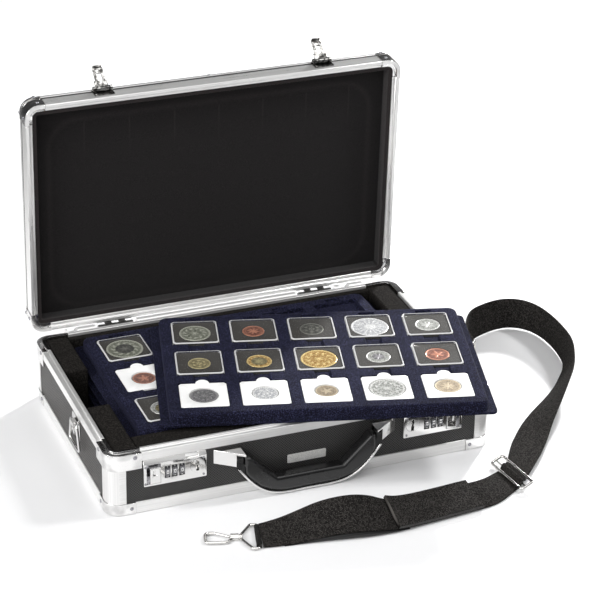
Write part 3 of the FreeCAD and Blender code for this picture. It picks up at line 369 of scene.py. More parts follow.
def soften(node, width, seg=2, mat=None, weld=0.00002, angle=32.0, name=None):
    """the node's own shape with its sharp edges rounded off, as a moulded or rolled part has"""
    src = NODES[node]
    me = src.data.copy()
    me.name = (name or node) + "_soft"
    o = bpy.data.objects.new((name or node) + "_soft", me)
    bpy.context.collection.objects.link(o)
    bm = bmesh.new()
    bm.from_mesh(me)
    bmesh.ops.remove_doubles(bm, verts=bm.verts, dist=weld)
    bmesh.ops.dissolve_limit(bm, angle_limit=math.radians(1.0), verts=bm.verts, edges=bm.edges)
    bm.to_mesh(me)
    bm.free()
    me.materials.clear()
    me.materials.append(mat or SLOT_MAT[node])
    md = o.modifiers.new("round", "BEVEL")
    md.width = width
    md.segments = seg
    md.limit_method = "ANGLE"
    md.angle_limit = math.radians(angle)
    md.harden_normals = False
    me.shade_smooth()
    me.set_sharp_from_angle(angle=math.radians(40))
    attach(o, BODY_OF[node])
    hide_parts(node)
    return o


def bake_mods(o):
    dg = bpy.context.evaluated_depsgraph_get()
    me = bpy.data.meshes.new_from_object(o.evaluated_get(dg))
    o.modifiers.clear()
    o.data = me
    return o


# ------------------------------------------------------------------ strap route: the same stations as the solid
START = [((257.1, 6.2, 8.0), (257.1, 6.2, 46.0)), ((260.8, 18.0, 6.0), (260.8, 18.0, 44.0)),
         ((264.5, 34.0, 3.0), (264.5, 34.0, 41.0))]
RUN1 = [((268, 50), 90), ((278.5, 70), 88), ((295.3, 87.4), 84), ((315.2, 95.7), 85),
        ((332, 100.5), 87), ((346, 99.5), 89), ((357, 94), 90), ((365, 85), 91), ((370, 74), 91),
        ((372.6, 62), 91), ((373.6, 48), 90), ((373.4, 34.2), 89), ((371.8, 20), 87), ((369.3, 6), 84.5),
        ((364.8, -6.7), 80), ((358, -17.5), 74), ((349.4, -28), 67.5), ((339.8, -39.5), 61),
        ((329.5, -50.5), 55), ((311.5, -66.7), 47), ((299, -76.4), 39.5), ((280, -92), 29.5),
        ((258.8, -112), 20.5), ((238.1, -136.6), 12)]
THROUGH = [((214.5, -166.5, 3.6), (221.5, -214.5, 5.2)), ((207.0, -175.6, 3.9), (213.4, -223.8, 3.9)),
           ((204.3, -177.3, 7.0), (210.8, -225.8, 7.0)), ((201.6, -178.5, 6.95), (208.4, -227.4, 6.95)),
           ((197.0, -180.8, 1.15), (204.4, -230.0, 1.15)), ((190.6, -183.5, 1.3), (198.6, -233.4, 1.05))]
RUN2 = [((171.0, -244.5), 11), ((147, -247.8), 14), ((112, -251.2), 14),
        ((71.4, -255.2), 16, 1.6), ((48.7, -257.7), 25, 4.5), ((26.5, -257.4), 40, 8.0), ((1.6, -253.2), 52, 8.5),
        ((-23.2, -248.4), 40, 6.0), ((-46, -244.6), 20, 2.6), ((-68.0, -242.0), 10), ((-84.0, -238.6), 5)]
WEB_W, WEB_T = 38.0, 1.8


def edges_of(run, side):
    out = []
    n = len(run)
    for i in range(n):
        a, b = run[max(i - 1, 0)][0], run[min(i + 1, n - 1)][0]
        tx, ty = b[0] - a[0], b[1] - a[1]
        ln = math.hypot(tx, ty)
        nx, ny = side * -ty / ln, side * tx / ln
        (x, y), ang = run[i][:2]
        zf = run[i][2] if len(run[i]) > 2 else 1.05
        q = math.radians(ang)
        out.append((Vector((x, y, zf)), Vector((x + WEB_W * math.cos(q) * nx, y + WEB_W * math.cos(q) * ny,
                                                zf + WEB_W * math.sin(q)))))
    return out


STATIONS = [(Vector(a), Vector(b)) for a, b in START] + edges_of(RUN1, 1)
STATIONS += [(Vector(a), Vector(b)) for a, b in THROUGH]
STATIONS += [(b, a) for a, b in edges_of(RUN2, -1)]


def nurbs_line(points, res=8):
    """points read from a smooth spline whose control points are the route's points"""
    cu = bpy.data.curves.new("route", "CURVE")
    cu.dimensions = "3D"
    cu.resolution_u = res
    sp = cu.splines.new("NURBS")
    sp.points.add(len(points) - 1)
    for p, c in zip(sp.points, points):
        p.co = (c.x * MM, c.y * MM, c.z * MM, 1.0)
    sp.order_u = 3
    sp.use_endpoint_u = True
    ob = bpy.data.objects.new("route", cu)
    bpy.context.collection.objects.link(ob)
    dg = bpy.context.evaluated_depsgraph_get()
    me = bpy.data.meshes.new_from_object(ob.evaluated_get(dg))
    pts = [v.co.copy() for v in me.vertices]
    bpy.data.objects.remove(ob)
    bpy.data.curves.remove(cu)
    bpy.data.meshes.remove(me)
    return pts


EDGE_A = nurbs_line([a for a, b in STATIONS])
EDGE_B = nurbs_line([b for a, b in STATIONS])
PATH = [(a + b) * 0.5 for a, b in zip(EDGE_A, EDGE_B)]
NPATH = len(PATH)
ARC = [0.0]
for i in range(1, NPATH):
    ARC.append(ARC[-1] + (PATH[i] - PATH[i - 1]).length)
WID, TAN, NRM = [], [], []
for i in range(NPATH):
    w = (EDGE_B[i] - EDGE_A[i]).normalized()
    t = (PATH[min(i + 1, NPATH - 1)] - PATH[max(i - 1, 0)]).normalized()
    w = (w - t * w.dot(t) * 0.0).normalized()
    WID.append(w)
    TAN.append(t)
    NRM.append(w.cross(t).normalized())


def webbing_profile(width, thick, n=14):
    """half-round edges and a nearly flat face, as points (across, out)"""
    pts = []
    h = thick / 2
    for k in range(n + 1):
        a = -1 + 2 * k / n
        x = a * (width / 2 - h)
        pts.append((x, h * (1.0 + 0.04 * math.cos(a * math.pi * 3))))
    for k in range(1, 4):
        q = math.pi / 2 - math.pi * k / 4
        pts.append((width / 2 - h + h * math.cos(q), h * math.sin(q)))
    for k in range(n + 1):
        a = 1 - 2 * k / n
        pts.append((a * (width / 2 - h), -h * (1.0 + 0.04 * math.cos(a * math.pi * 3))))
    for k in range(1, 4):
        q = -math.pi / 2 - math.pi * k / 4
        pts.append((-(width / 2 - h) + h * math.cos(q), h * math.sin(q)))
    return pts


def sweep(name, i0, i1, prof, mat, body, off=0.0, width_scale=None, uv=True, path=None, zmin=None):
    """profile carried along the strap's route from sample i0 to i1"""
    verts, faces, uvs = [], [], []
    m = len(prof)
    per = [0.0]
    for k in range(1, m + 1):
        a, b = prof[k - 1], prof[k % m]
        per.append(per[-1] + math.hypot(a[0] - b[0], a[1] - b[1]))
    rows = list(range(i0, i1 + 1))
    for i in rows:
        c, w, n = PATH[i], WID[i], NRM[i]
        for (x, y) in prof:
            v = c + w * (x * MM) + n * ((y + off) * MM)
            if zmin is not None and v.z < zmin:
                v.z = zmin
            verts.append(v)
    for r in range(len(rows) - 1):
        for k in range(m):
            a, b = r * m + k, r * m + (k + 1) % m
            faces.append((a, b, b + m, a + m))
            uvs.append(((per[k], ARC[rows[r]]), (per[k + 1], ARC[rows[r]]), (per[k + 1], ARC[rows[r + 1]]),
                        (per[k], ARC[rows[r + 1]])))
    last = (len(rows) - 1) * m
    faces.append(tuple(range(m - 1, -1, -1)))
    faces.append(tuple(last + k for k in range(m)))
    o = new_obj(name, verts, faces, mat, body, angle=50)
    me = o.data
    layer = me.uv_layers.new(name="run")
    li = 0
    for fi, f in enumerate(me.polygons):
        if fi < len(uvs):
            for k in range(4):
                layer.data[f.loop_start + k].uv = (uvs[fi][k][0], uvs[fi][k][1] * 1000.0)
    return o


def webbing_mat(name, dark, light, rib=1.5, pick=1.9):
    """tight woven webbing: ribs along, picks across, alternate ribs shifted, with light flecks of yarn; painted shade
    darkens the gaps between yarns and a painted highlight lightens their crowns
    """
    m = Mat(name, dark, 0.0, 0.95, Specular_IOR_Level=0.08)
    uv = m.add("ShaderNodeUVMap", {"uv_map": "run"}).outputs[0]
    sep = m.add("ShaderNodeSeparateXYZ", Vector=uv)
    u, v = sep.outputs[0], sep.outputs[1]
    ru = m.math("MULTIPLY", u, 1.0 / rib)
    cell = m.math("FLOOR", ru)
    sh = m.math("MULTIPLY", m.math("MODULO", cell, 2.0), 0.5)
    rv = m.math("ADD", m.math("MULTIPLY", v, 1.0 / pick), sh)
    fu = m.math("MULTIPLY", m.math("ABSOLUTE", m.math("SUBTRACT", m.math("FRACT", ru), 0.5)), 2.0)
    fv = m.math("MULTIPLY", m.math("ABSOLUTE", m.math("SUBTRACT", m.math("FRACT", rv), 0.5)), 2.0)
    hump = m.math("MULTIPLY", m.math("SUBTRACT", 1.0, m.math("POWER", fu, 2.5)), m.math("SUBTRACT", 1.0, m.math("POWER", fv, 2.5)))
    yarn = m.add("ShaderNodeTexWhiteNoise", {"noise_dimensions": "2D"})
    cmb = m.add("ShaderNodeCombineXYZ", X=cell, Y=m.math("FLOOR", rv))
    m.set(yarn, "Vector", cmb.outputs[0])
    each = yarn.outputs["Value"]
    jit = m.noise(1100.0, 2.0)
    h = m.math("ADD", hump, m.math("MULTIPLY", jit, 0.15))
    m.bump(h, 0.00035, 0.5)
    # painted shade and highlight: the colour follows the weave's relief, dark in the gaps and light on the crowns; the
    # random tone per yarn gives the flecks
    f = m.math("MULTIPLY", hump, m.math("ADD", 0.52, m.math("MULTIPLY", each, 0.48)))
    m.color(m.ramp(f, [(0.04, tuple(c * 0.2 for c in dark)), (0.38, dark), (1.0, light)]))
    return m.m


M_WEB = webbing_mat("strap_weave", (0.0060, 0.0056, 0.0053), (0.104, 0.096, 0.089), 1.25, 1.35)

prof = webbing_profile(WEB_W, WEB_T)
web = sweep("strap_webbing_woven", 0, NPATH - 1, prof, M_WEB, "base", zmin=0.0001)
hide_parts("strap_webbing")

# helpers for the pad (two faces of webbing about a foam core) over the front run: the sample at an arc length, and the
# sample nearest an x
def arc_index(s):
    for i in range(NPATH):
        if ARC[i] >= s:
            return i
    return NPATH - 1


def nearest_x(x):
    """sample on the front run whose x is nearest"""
    best = min((i for i in range(NPATH) if PATH[i].y < -0.19), key=lambda i: abs(PATH[i].x - x * MM))
    return best


# ------------------------------------------------------------------ soft edges on rolled, cast and moulded parts
SOFT = {"base_rim_frame": 0.6, "base_bottom_frame": 0.9, "base_corner_posts": 0.4, "base_corner_caps": 0.7,
        "lid_rim_frame": 0.7, "lid_back_frame": 0.5, "lid_corner_caps": 0.7, "hinge_cover_rail": 0.3,
        "hinge_leaves_base": 0.25, "hinge_leaves_lid": 0.25, "hasp_brackets": 0.35, "hasp_left": 0.4, "hasp_right": 0.4,
        "lock_plates": 0.35, "lock_slide_left": 0.5, "lock_slide_right": 0.5, "lock_cylinder_left": 0.35,
        "lock_cylinder_right": 0.35, "handle_brackets": 0.7, "handle_grip": 0.4, "handle_trim": 0.5,
        "ring_plates": 0.3, "name_plate_blank": 0.25, "top_tray": 0.9, "tray_4": 0.9, "foam_blocks": 1.0,
        "lid_lining": 1.6, "base_front_panel": 0.2}
SOFTENED = {}
for nm, wd in SOFT.items():
    SOFTENED[nm] = soften(nm, wd * MM, 3 if wd > 0.8 else 2)


# ------------------------------------------------------------------ stacked outlines: holders, inserts, cards, coins
NSEG = 64


def loop_rr(h, r):
    """rounded square by angle"""
    out = []
    for k in range(NSEG):
        a = 2 * math.pi * (k + 0.5) / NSEG
        d = Vector((math.cos(a), math.sin(a)))
        t = h / max(abs(d.x), abs(d.y))
        p = d * t
        c = h - r
        if abs(p.x) > c and abs(p.y) > c:
            cc = Vector((math.copysign(c, p.x), math.copysign(c, p.y)))
            dc = d.dot(cc)
            p = d * (dc + math.sqrt(max(dc * dc - cc.length_squared + r * r, 0.0)))
        out.append((p.x, p.y))
    return out


def loop_c(r):
    return [(r * math.cos(2 * math.pi * (k + 0.5) / NSEG), r * math.sin(2 * math.pi * (k + 0.5) / NSEG)) for k in
            range(NSEG)]


class Pile:
    """collects stacked outlines into one mesh"""

    def __init__(s, place):
        s.v, s.f, s.i, s.place = [], [], [], place

    def stack(s, rings, x=0.0, y=0.0, mats=None):
        """rings: ('rr', half, radius, z), ('c', radius, z) or ('p', z) at the two ends"""
        prev = None
        for n, r in enumerate(rings):
            mi = (mats[n - 1] if mats and n else 0)
            if r[0] == "p":
                s.v.append(s.place((x, y, r[1])))
                cur = [len(s.v) - 1]
            else:
                pts = loop_rr(r[1], r[2]) if r[0] == "rr" else loop_c(r[1])
                cur = list(range(len(s.v), len(s.v) + NSEG))
                s.v += [s.place((x + a, y + b, r[-1])) for a, b in pts]
            if prev is not None:
                if len(prev) == 1:
                    for k in range(NSEG):
                        s.f.append((prev[0], cur[(k + 1) % NSEG], cur[k]))
                        s.i.append(mi)
                elif len(cur) == 1:
                    for k in range(NSEG):
                        s.f.append((prev[k], prev[(k + 1) % NSEG], cur[0]))
                        s.i.append(mi)
                else:
                    for k in range(NSEG):
                        s.f.append((prev[k], prev[(k + 1) % NSEG], cur[(k + 1) % NSEG], cur[k]))
                        s.i.append(mi)
            prev = cur

    def make(s, name, mats, body, slot, angle=40.0):
        return new_obj(name, s.v, s.f, mats, body, idx=s.i, angle=angle)


def placer(x, y, z, yaw):
    c, sn = math.cos(math.radians(yaw)), math.sin(math.radians(yaw))
    return lambda p: ((x + c * p[0] - sn * p[1]) * MM, (y + sn * p[0] + c * p[1]) * MM, (z + p[2]) * MM)


PX, PY, TRAY_H = 63.5, 67.5, 14.2
TOP_COINS = [[17.0, 12.0, 13.0, 20.5, 13.5], [12.0, 13.5, 19.5, 13.0, 13.0], [14.0, 13.0, 11.5, 18.5, 13.5]]
LOW_COINS = [[20.0, 15.0, None, None, None], [12.0, 13.0, 14.0, 13.0, 14.0], [14.0, 15.0, 14.0, 15.0, 14.0]]


def coin_mat(name, metal, dark, rough):
    m = Mat(name, metal, 0.45, rough)
    at = m.add("ShaderNodeAttribute", {"attribute_name": "relief"}).outputs["Fac"]
    tone = m.noise(300.0, 4.0)
    f = m.math("ADD", m.math("ADD", m.math("MULTIPLY", at, 0.75), 0.16), m.math("MULTIPLY", m.math("SUBTRACT", tone, 0.5), 0.9))
    mid = tuple(0.5 * (a + b) for a, b in zip(metal, dark))
    m.color(m.ramp(f, [(0.05, dark), (0.35, mid), (0.70, metal)]))
    m.rough(m.remap(m.noise(900.0, 3.0), 0.3, 0.7, rough - 0.06, rough + 0.1))
    m.bump(m.noise(1600.0, 3.0), 0.00003, 0.4)
    return m.m


COIN = {
    "silver": coin_mat("coin_silver", (0.78, 0.78, 0.75), (0.30, 0.31, 0.28), 0.26),
    "bright": coin_mat("coin_bright", (0.98, 0.98, 0.97), (0.50, 0.51, 0.53), 0.22),
    "olive": coin_mat("coin_toned", (0.52, 0.53, 0.44), (0.12, 0.13, 0.09), 0.34),
    "dark": coin_mat("coin_dark", (0.22, 0.22, 0.19), (0.03, 0.03, 0.025), 0.32),
    "grey": coin_mat("coin_grey", (0.26, 0.25, 0.26), (0.07, 0.07, 0.07), 0.45),
    "copper": coin_mat("coin_copper", (0.60, 0.25, 0.15), (0.14, 0.035, 0.02), 0.32),
    "gold": coin_mat("coin_gold", (1.0, 0.76, 0.32), (0.45, 0.24, 0.05), 0.22),
    "brass": coin_mat("coin_brass", (0.58, 0.50, 0.26), (0.16, 0.13, 0.05), 0.33),
    "bronze": coin_mat("coin_bronze", (0.55, 0.45, 0.30), (0.22, 0.16, 0.09), 0.38),
}
MET = list(COIN)
COIN_MATS = [COIN[k] for k in MET]


def motif(kind, rho, th, r):
    """height 0..1 of a plain made-up design: rosettes, wreaths, stars, rays and knots"""
    if kind == "star":
        n = 5
        a = (th % (2 * math.pi / n)) - math.pi / n
        edge = 0.30 * math.cos(math.pi / n) / max(math.cos(abs(a) - 2 * math.pi / n * 0.0), 0.2)
        lim = 0.22 + 0.42 * (abs(a) / (math.pi / n)) ** 1.6
        v = 1.0 if rho < lim else 0.0
        return v * (0.55 + 0.45 * (1 - rho / max(lim, 0.01)))
    if kind == "wreath":
        leaf = max(0.0, math.sin(11 * th + 16 * rho)) * max(0.0, 1 - abs(rho - 0.66) / 0.13)
        leaf2 = max(0.0, math.sin(11 * th - 16 * rho)) * max(0.0, 1 - abs(rho - 0.56) / 0.10)
        core = max(0.0, 1 - rho / 0.30) * (0.6 + 0.4 * math.cos(6 * th))
        return min(1.0, leaf + 0.8 * leaf2 + core)
    if kind == "ray":
        v = max(0.0, math.cos(16 * th)) * (0.34 < rho < 0.80) * (1.1 - rho)
        return min(1.0, v + (0.9 - 1.5 * rho if rho < 0.30 else 0.0))
    if kind == "rosette":
        v = abs(math.cos(4 * th)) * 0.62
        return max(0.0, 1 - (rho / max(v, 0.2)) ** 3) * 0.9 + 0.35 * max(0.0, math.cos(24 * th)) * (0.70 < rho < 0.82)
    if kind == "knot":
        v = math.sin(9 * rho + 3 * th) * math.sin(9 * rho - 3 * th)
        return max(0.0, v) * (rho < 0.80)
    if kind == "stars":
        n = 12
        a = (th % (2 * math.pi / n)) - math.pi / n
        d = math.hypot(rho * math.sin(a), rho * math.cos(a) - 0.74)
        v = max(0.0, 1 - d / 0.085)
        return min(1.0, v * 1.5 + max(0.0, 0.9 - rho / 0.55) * (0.6 + 0.4 * math.sin(7 * th + 9 * rho)))
    return 0.0


CN, CR = 112, 34


def add_coin(pile, x, y, z, r, thick, kind, inner, outer, split=0.0, spin=0.0, seed=0, relief=0.28):
    """one struck disc: raised rim, beading, a made-up design and a reeded edge"""
    base = len(pile["v"])
    rnd = random.Random(seed)
    ph = rnd.random() * 6.28
    hs = []
    rows = [0.0] + [1.0 - (1 - (k / CR)) ** 1.15 for k in range(1, CR + 1)]
    pile["v"].append(pile["place"]((x, y, z + thick - 0.25)))
    pile["h"].append(0.6)
    idx0 = base
    for k in range(1, CR + 1):
        rho = rows[k] * 0.985
        for j in range(CN):
            th = 2 * math.pi * j / CN + spin
            h = motif(kind, rho, th, r)
            grain = noise.noise(Vector((rho * math.cos(th) * 9 + ph, rho * math.sin(th) * 9, seed * 1.7)))
            h += 0.35 * max(0.0, grain) * (rho < 0.8)
            if rho > 0.91:
                h = 1.0
            elif rho > 0.85:
                h = 0.75 * max(0.0, math.cos(36 * th))
            h = min(h, 1.0)
            if k == CR:
                h = 0.7
            pile["v"].append(pile["place"]((x + r * rho * math.cos(th - spin), y + r * rho * math.sin(th - spin),
                                            z + thick - 0.30 + relief * h)))
            pile["h"].append(h)
    # reeded edge
    for zz in (z + thick - 0.22, z + 0.15):
        for j in range(CN):
            rr = r * (1.0 if j % 2 else 0.992)
            th = 2 * math.pi * j / CN
            pile["v"].append(pile["place"]((x + rr * math.cos(th), y + rr * math.sin(th), zz)))
            pile["h"].append(0.5)
    for j in range(CN):
        th = 2 * math.pi * j / CN
        pile["v"].append(pile["place"]((x + r * 0.97 * math.cos(th), y + r * 0.97 * math.sin(th), z)))
        pile["h"].append(0.4)
    pile["v"].append(pile["place"]((x, y, z)))
    pile["h"].append(0.4)
    last = len(pile["v"]) - 1
    mi, mo = MET.index(inner), MET.index(outer)
    R0 = base + 1
    for j in range(CN):
        pile["f"].append((base, R0 + j, R0 + (j + 1) % CN))
        pile["i"].append(mi)
    for k in range(CR + 2):
        a0, b0 = R0 + k * CN, R0 + (k + 1) * CN
        rho = rows[min(k + 1, CR)]
        for j in range(CN):
            pile["f"].append((a0 + j, b0 + j, b0 + (j + 1) % CN, a0 + (j + 1) % CN))
            pile["i"].append(mi if rho < split else mo)
    a0 = R0 + (CR + 2) * CN
    for j in range(CN):
        pile["f"].append((a0 + j, last, a0 + (j + 1) % CN))
        pile["i"].append(mo)


def coin_obj(pile, name, body, node):
    o = new_obj(name, pile["v"], pile["f"], COIN_MATS, body, idx=pile["i"], angle=60)
    at = o.data.attributes.new("relief", "FLOAT", "POINT")
    at.data.foreach_set("value", pile["h"])
    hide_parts(node)
    return o


TOP_KIND = [[("wreath", "olive", "olive", 0), ("rosette", "copper", "copper", 0), ("knot", "dark", "dark", 0),
             ("ray", "bright", "bright", 0), ("rosette", "silver", "silver", 0)],
            [("knot", "brass", "brass", 0.0), ("stars", "brass", "gold", 0.62), ("wreath", "gold", "gold", 0),
             ("rosette", "grey", "silver", 0.5), ("star", "copper", "copper", 0)],
            [("wreath", "grey", "grey", 0), ("knot", "bright", "bright", 0), ("star", "bronze", "bronze", 0),
             ("wreath", "silver", "silver", 0), ("rosette", "bronze", "bronze", 0)]]
LOW_KIND = [[("wreath", "dark", "olive", 0.5), ("ray", "silver", "silver", 0), ("knot", "brass", "brass", 0),
             ("star", "silver", "silver", 0), ("wreath", "silver", "silver", 0)],
            [("star", "copper", "copper", 0), ("wreath", "grey", "grey", 0), ("knot", "silver", "silver", 0),
             ("rosette", "bronze", "bronze", 0), ("ray", "grey", "grey", 0)],
            [("stars", "brass", "silver", 0.62), ("star", "silver", "silver", 0), ("wreath", "copper", "copper", 0),
             ("knot", "olive", "olive", 0), ("rosette", "dark", "dark", 0)]]


def fill_tray(prefix, body, coins, kinds, flat, place, cap_node, card_node, coin_node):
    caps, ins, cards = Pile(place), Pile(place), Pile(place)
    cp = {"v": [], "f": [], "i": [], "h": [], "place": place}
    for r in range(3):
        for c in range(5):
            x, y = (c - 2) * PX, (1 - r) * PY
            rad = coins[r][c]
            if rad is None:
                continue
            kind, inner, outer, split = kinds[r][c]
            seed = r * 5 + c + (40 if prefix == "top" else 0)
            rnd = random.Random(seed)
            dx, dy = (rnd.random() - 0.5) * 0.3, (rnd.random() - 0.5) * 0.3
            if r != flat:
                z = TRAY_H - 5.0
                x, y = x + dx * 0.3, y + dy * 0.3
                # clear two-part box: stepped rim, clear top; the rim bands take the whitish edge material, a painted
                # highlight
                caps.stack([("p", z), ("rr", 24.2, 1.6, z), ("rr", 24.9, 2.0, z + 0.7), ("rr", 24.9, 2.0, z + 3.0),
                            ("rr", 24.55, 1.8, z + 3.15), ("rr", 24.55, 1.8, z + 3.4), ("rr", 24.9, 2.0, z + 3.55),
                            ("rr", 24.9, 2.0, z + 5.4), ("rr", 24.6, 1.8, z + 6.0), ("rr", 24.0, 1.5, z + 6.2),
                            ("rr", 23.3, 1.1, z + 6.2), ("rr", 22.9, 0.9, z + 6.0), ("rr", 22.6, 0.8, z + 5.75),
                            ("p", z + 5.75)], x, y, [0, 0, 0, 0, 0, 1, 0, 1, 1, 1, 0, 0, 0])
                ins.stack([("p", z + 1.1), ("rr", 23.0, 2.2, z + 1.1), ("rr", 23.1, 2.2, z + 1.4), ("rr", 23.1, 2.2, z + 4.6),
                           ("rr", 22.8, 2.0, z + 4.95), ("c", rad + 1.0, z + 4.95), ("c", rad + 0.45, z + 4.6),
                           ("c", rad + 0.35, z + 2.2), ("p", z + 2.2)], x, y)
                add_coin(cp, x, y, z + 2.25, rad, 2.5, kind, inner, outer, split, rnd.random() * 6, seed)
            else:
                z = TRAY_H - 2.3
                win = rad + 1.5
                cards.stack([("p", z), ("rr", 24.6, 0.9, z), ("rr", 24.8, 1.0, z + 0.15), ("rr", 24.8, 1.0, z + 0.75),
                             ("rr", 24.66, 0.95, z + 0.82), ("rr", 24.66, 0.95, z + 0.90), ("rr", 24.8, 1.0, z + 0.97),
                             ("rr", 24.8, 1.0, z + 1.65), ("rr", 24.6, 0.9, z + 1.8), ("c", win + 0.35, z + 1.8),
                             ("c", win, z + 1.6), ("c", win, z + 0.12), ("p", z + 0.12)], x, y,
                            [0] * 11 + [2])
                cards.stack([("p", z + 1.30), ("c", win + 0.02, z + 1.30), ("c", win + 0.02, z + 1.36), ("p", z + 1.36)], x, y,
                            [1, 1, 1])
                add_coin(cp, x + dx, y + dy, z + 0.16, rad, 1.12, kind, inner, outer, split, rnd.random() * 6, seed,
                         relief=0.14)
                # finger tab: a half disc that lies in the notch of the bar behind the pocket
                n = 18
                b0 = len(cards.v)
                for zz in (z + 1.0, z + 1.85):
                    cards.v.append(place((x, y + 24.2, zz)))
                    for k in range(n + 1):
                        a = math.pi * k / n
                        cards.v.append(place((x + 7.2 * math.cos(a), y + 24.3 + 7.0 * math.sin(a), zz + 0.5 * math.sin(a))))
                m = n + 2
                for k in range(n):
                    cards.f.append((b0, b0 + k + 2, b0 + k + 1))
                    cards.f.append((b0 + m, b0 + m + k + 1, b0 + m + k + 2))
                    cards.f.append((b0 + k + 1, b0 + k + 2, b0 + m + k + 2, b0 + m + k + 1))
                    cards.i += [0, 0, 0]
                cards.f.append((b0, b0 + 1, b0 + m + 1, b0 + m))
                cards.f.append((b0, b0 + m, b0 + 2 * m - 1, b0 + m - 1))
                cards.i += [0, 0]
    a = caps.make(prefix + "_clear_boxes", [M_CLEAR, M_CLEAR_EDGE_HIGHLIGHT], body, REC_SLOT[cap_node], 50)
    b = ins.make(prefix + "_inserts", [M_INSERT], body, REC_SLOT[cap_node], 30)
    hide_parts(cap_node)
    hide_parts(cap_node)
    d = cards.make(prefix + "_card_holders", [M_CARD, M_CLEAR, M_CARD_IN], body, REC_SLOT[card_node], 30)
    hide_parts(card_node)
    coin_obj(cp, prefix + "_struck_coins", body, coin_node)


M_CARD_IN = plastic("card_window_back", (0.35, 0.35, 0.34), 0.6)
fill_tray("top", "top_tray", TOP_COINS, TOP_KIND, 2, placer(51.5, -40.2, 72.15, -14.96), "top_tray_capsules",
          "top_tray_cards", "top_tray_coins")
fill_tray("lower", "tray_4", LOW_COINS, LOW_KIND, 1, placer(0.0, 10.0, 56.5, 0.0), "tray_4_holders", "tray_4_holders",
          "tray_4_coins")


# ------------------------------------------------------------------ numbers on the dials
def digits_on_dial(node, x, mirror, body, front):
    """ten raised numbers round the dial; front is the number that faces forward"""
    verts, faces = [], []
    for d in range(10):
        cu = bpy.data.curves.new("n", "FONT")
        cu.body = str((front + d) % 10)
        cu.size = 5.6
        cu.align_x, cu.align_y = "CENTER", "CENTER"
        cu.resolution_u = 4
        cu.extrude = 0.16
        cu.offset = 0.12
        ob = bpy.data.objects.new("n", cu)
        bpy.context.collection.objects.link(ob)
        dg = bpy.context.evaluated_depsgraph_get()
        me = bpy.data.meshes.new_from_object(ob.evaluated_get(dg))
        b = len(verts)
        th0 = math.radians(36.0 * d)
        for v in me.vertices:
            rad = 11.0 + 0.12 + v.co.z
            th = th0 + v.co.y / 11.0
            # th = 0 faces forward (-Y); the numbers climb upwards
            verts.append(((x + v.co.x * 0.98) * MM, (-128.7 - rad * math.cos(th)) * MM, (44.5 + rad * math.sin(th)) * MM))
        for f in me.polygons:
            faces.append(tuple(b + k for k in f.vertices))
        bpy.data.objects.remove(ob)
        bpy.data.curves.remove(cu)
        bpy.data.meshes.remove(me)
    o = new_obj(node + "_numbers", verts, faces, M_CHROME, body, smooth=False)
    return o


M_DIAL = polished("dial_body", (0.22, 0.22, 0.23), 0.22, 0.08)
for side, sx in (("left", -1), ("right", 1)):
    for i, x in enumerate((150.2, 142.5, 134.8)):
        nd = "lock_dial_%s_%d" % (side, i + 1)
        for s_ in NODES[nd].material_slots:
            s_.material = M_DIAL
        digits_on_dial(nd, sx * x, sx < 0, nd, 0)


# ------------------------------------------------------------------ rivets and screws with domed heads
def dome(verts, faces, p, axis, r, h, slot=False, seg=20):
    """low dome standing on the point p, along axis"""
    ax = Vector(axis).normalized()
    up = Vector((0, 0, 1)) if abs(ax.z) < 0.9 else Vector((1, 0, 0))
    u = ax.cross(up).normalized()
    w = ax.cross(u).normalized()
    b = len(verts)
    rings = [(1.0, 0.0), (1.0, 0.25), (0.94, 0.5), (0.78, 0.78), (0.5, 0.94), (0.22, 1.0)]
    if slot:
        rings = [(1.0, 0.0), (1.0, 0.55), (0.92, 0.85), (0.7, 0.95), (0.45, 0.6), (0.2, 0.45)]
    for rr, hh in rings:
        for k in range(seg):
            a = 2 * math.pi * k / seg
            q = Vector(p) + u * (r * rr * math.cos(a)) + w * (r * rr * math.sin(a)) + ax * (h * hh)
            verts.append(q * MM)
    verts.append((Vector(p) + ax * h * (0.45 if slot else 1.0)) * MM)
    top = len(verts) - 1
    for n in range(len(rings) - 1):
        for k in range(seg):
            faces.append((b + n * seg + k, b + n * seg + (k + 1) % seg, b + (n + 1) * seg + (k + 1) % seg,
                          b + (n + 1) * seg + k))
    for k in range(seg):
        faces.append((b + (len(rings) - 1) * seg + k, b + (len(rings) - 1) * seg + (k + 1) % seg, top))
    faces.append(tuple(b + k for k in range(seg - 1, -1, -1)))


W2, D2 = 212.0, 135.0
rv, rf = [], []
for sx in (-1, 1):
    for sy in (-1, 1):
        dome(rv, rf, (sx * 183, sy * (D2 + 0.6), 65.5), (0, sy, 0), 2.2, 0.9)
        dome(rv, rf, (sx * (W2 + 0.6), sy * 107, 65.5), (sx, 0, 0), 2.2, 0.9)
        dome(rv, rf, (sx * 187.5, sy * (D2 + 0.6), 6.5), (0, sy, 0), 2.0, 0.8)
        dome(rv, rf, (sx * (W2 + 0.6), sy * 110.5, 6.5), (sx, 0, 0), 2.0, 0.8)
    for x, z in ((111.9, 34.2), (173.6, 34.0), (111.9, 53.6), (173.6, 53.6)):
        dome(rv, rf, (sx * x, -138.5, z), (0, -1, 0), 1.25, 0.6, slot=True)
ro = new_obj("base_rivet_heads", rv, rf, M_STEEL, "base", angle=60)
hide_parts("base_fasteners")


def lid_pt(p):
    th = math.radians(87.9)
    y, z = p[1] - 139.5, p[2] - 66.0
    return Vector((p[0], 139.5 + math.cos(th) * y + math.sin(th) * z, 66.0 - math.sin(th) * y + math.cos(th) * z))


def lid_dir(d):
    th = math.radians(87.9)
    return Vector((d[0], math.cos(th) * d[1] + math.sin(th) * d[2], -math.sin(th) * d[1] + math.cos(th) * d[2]))


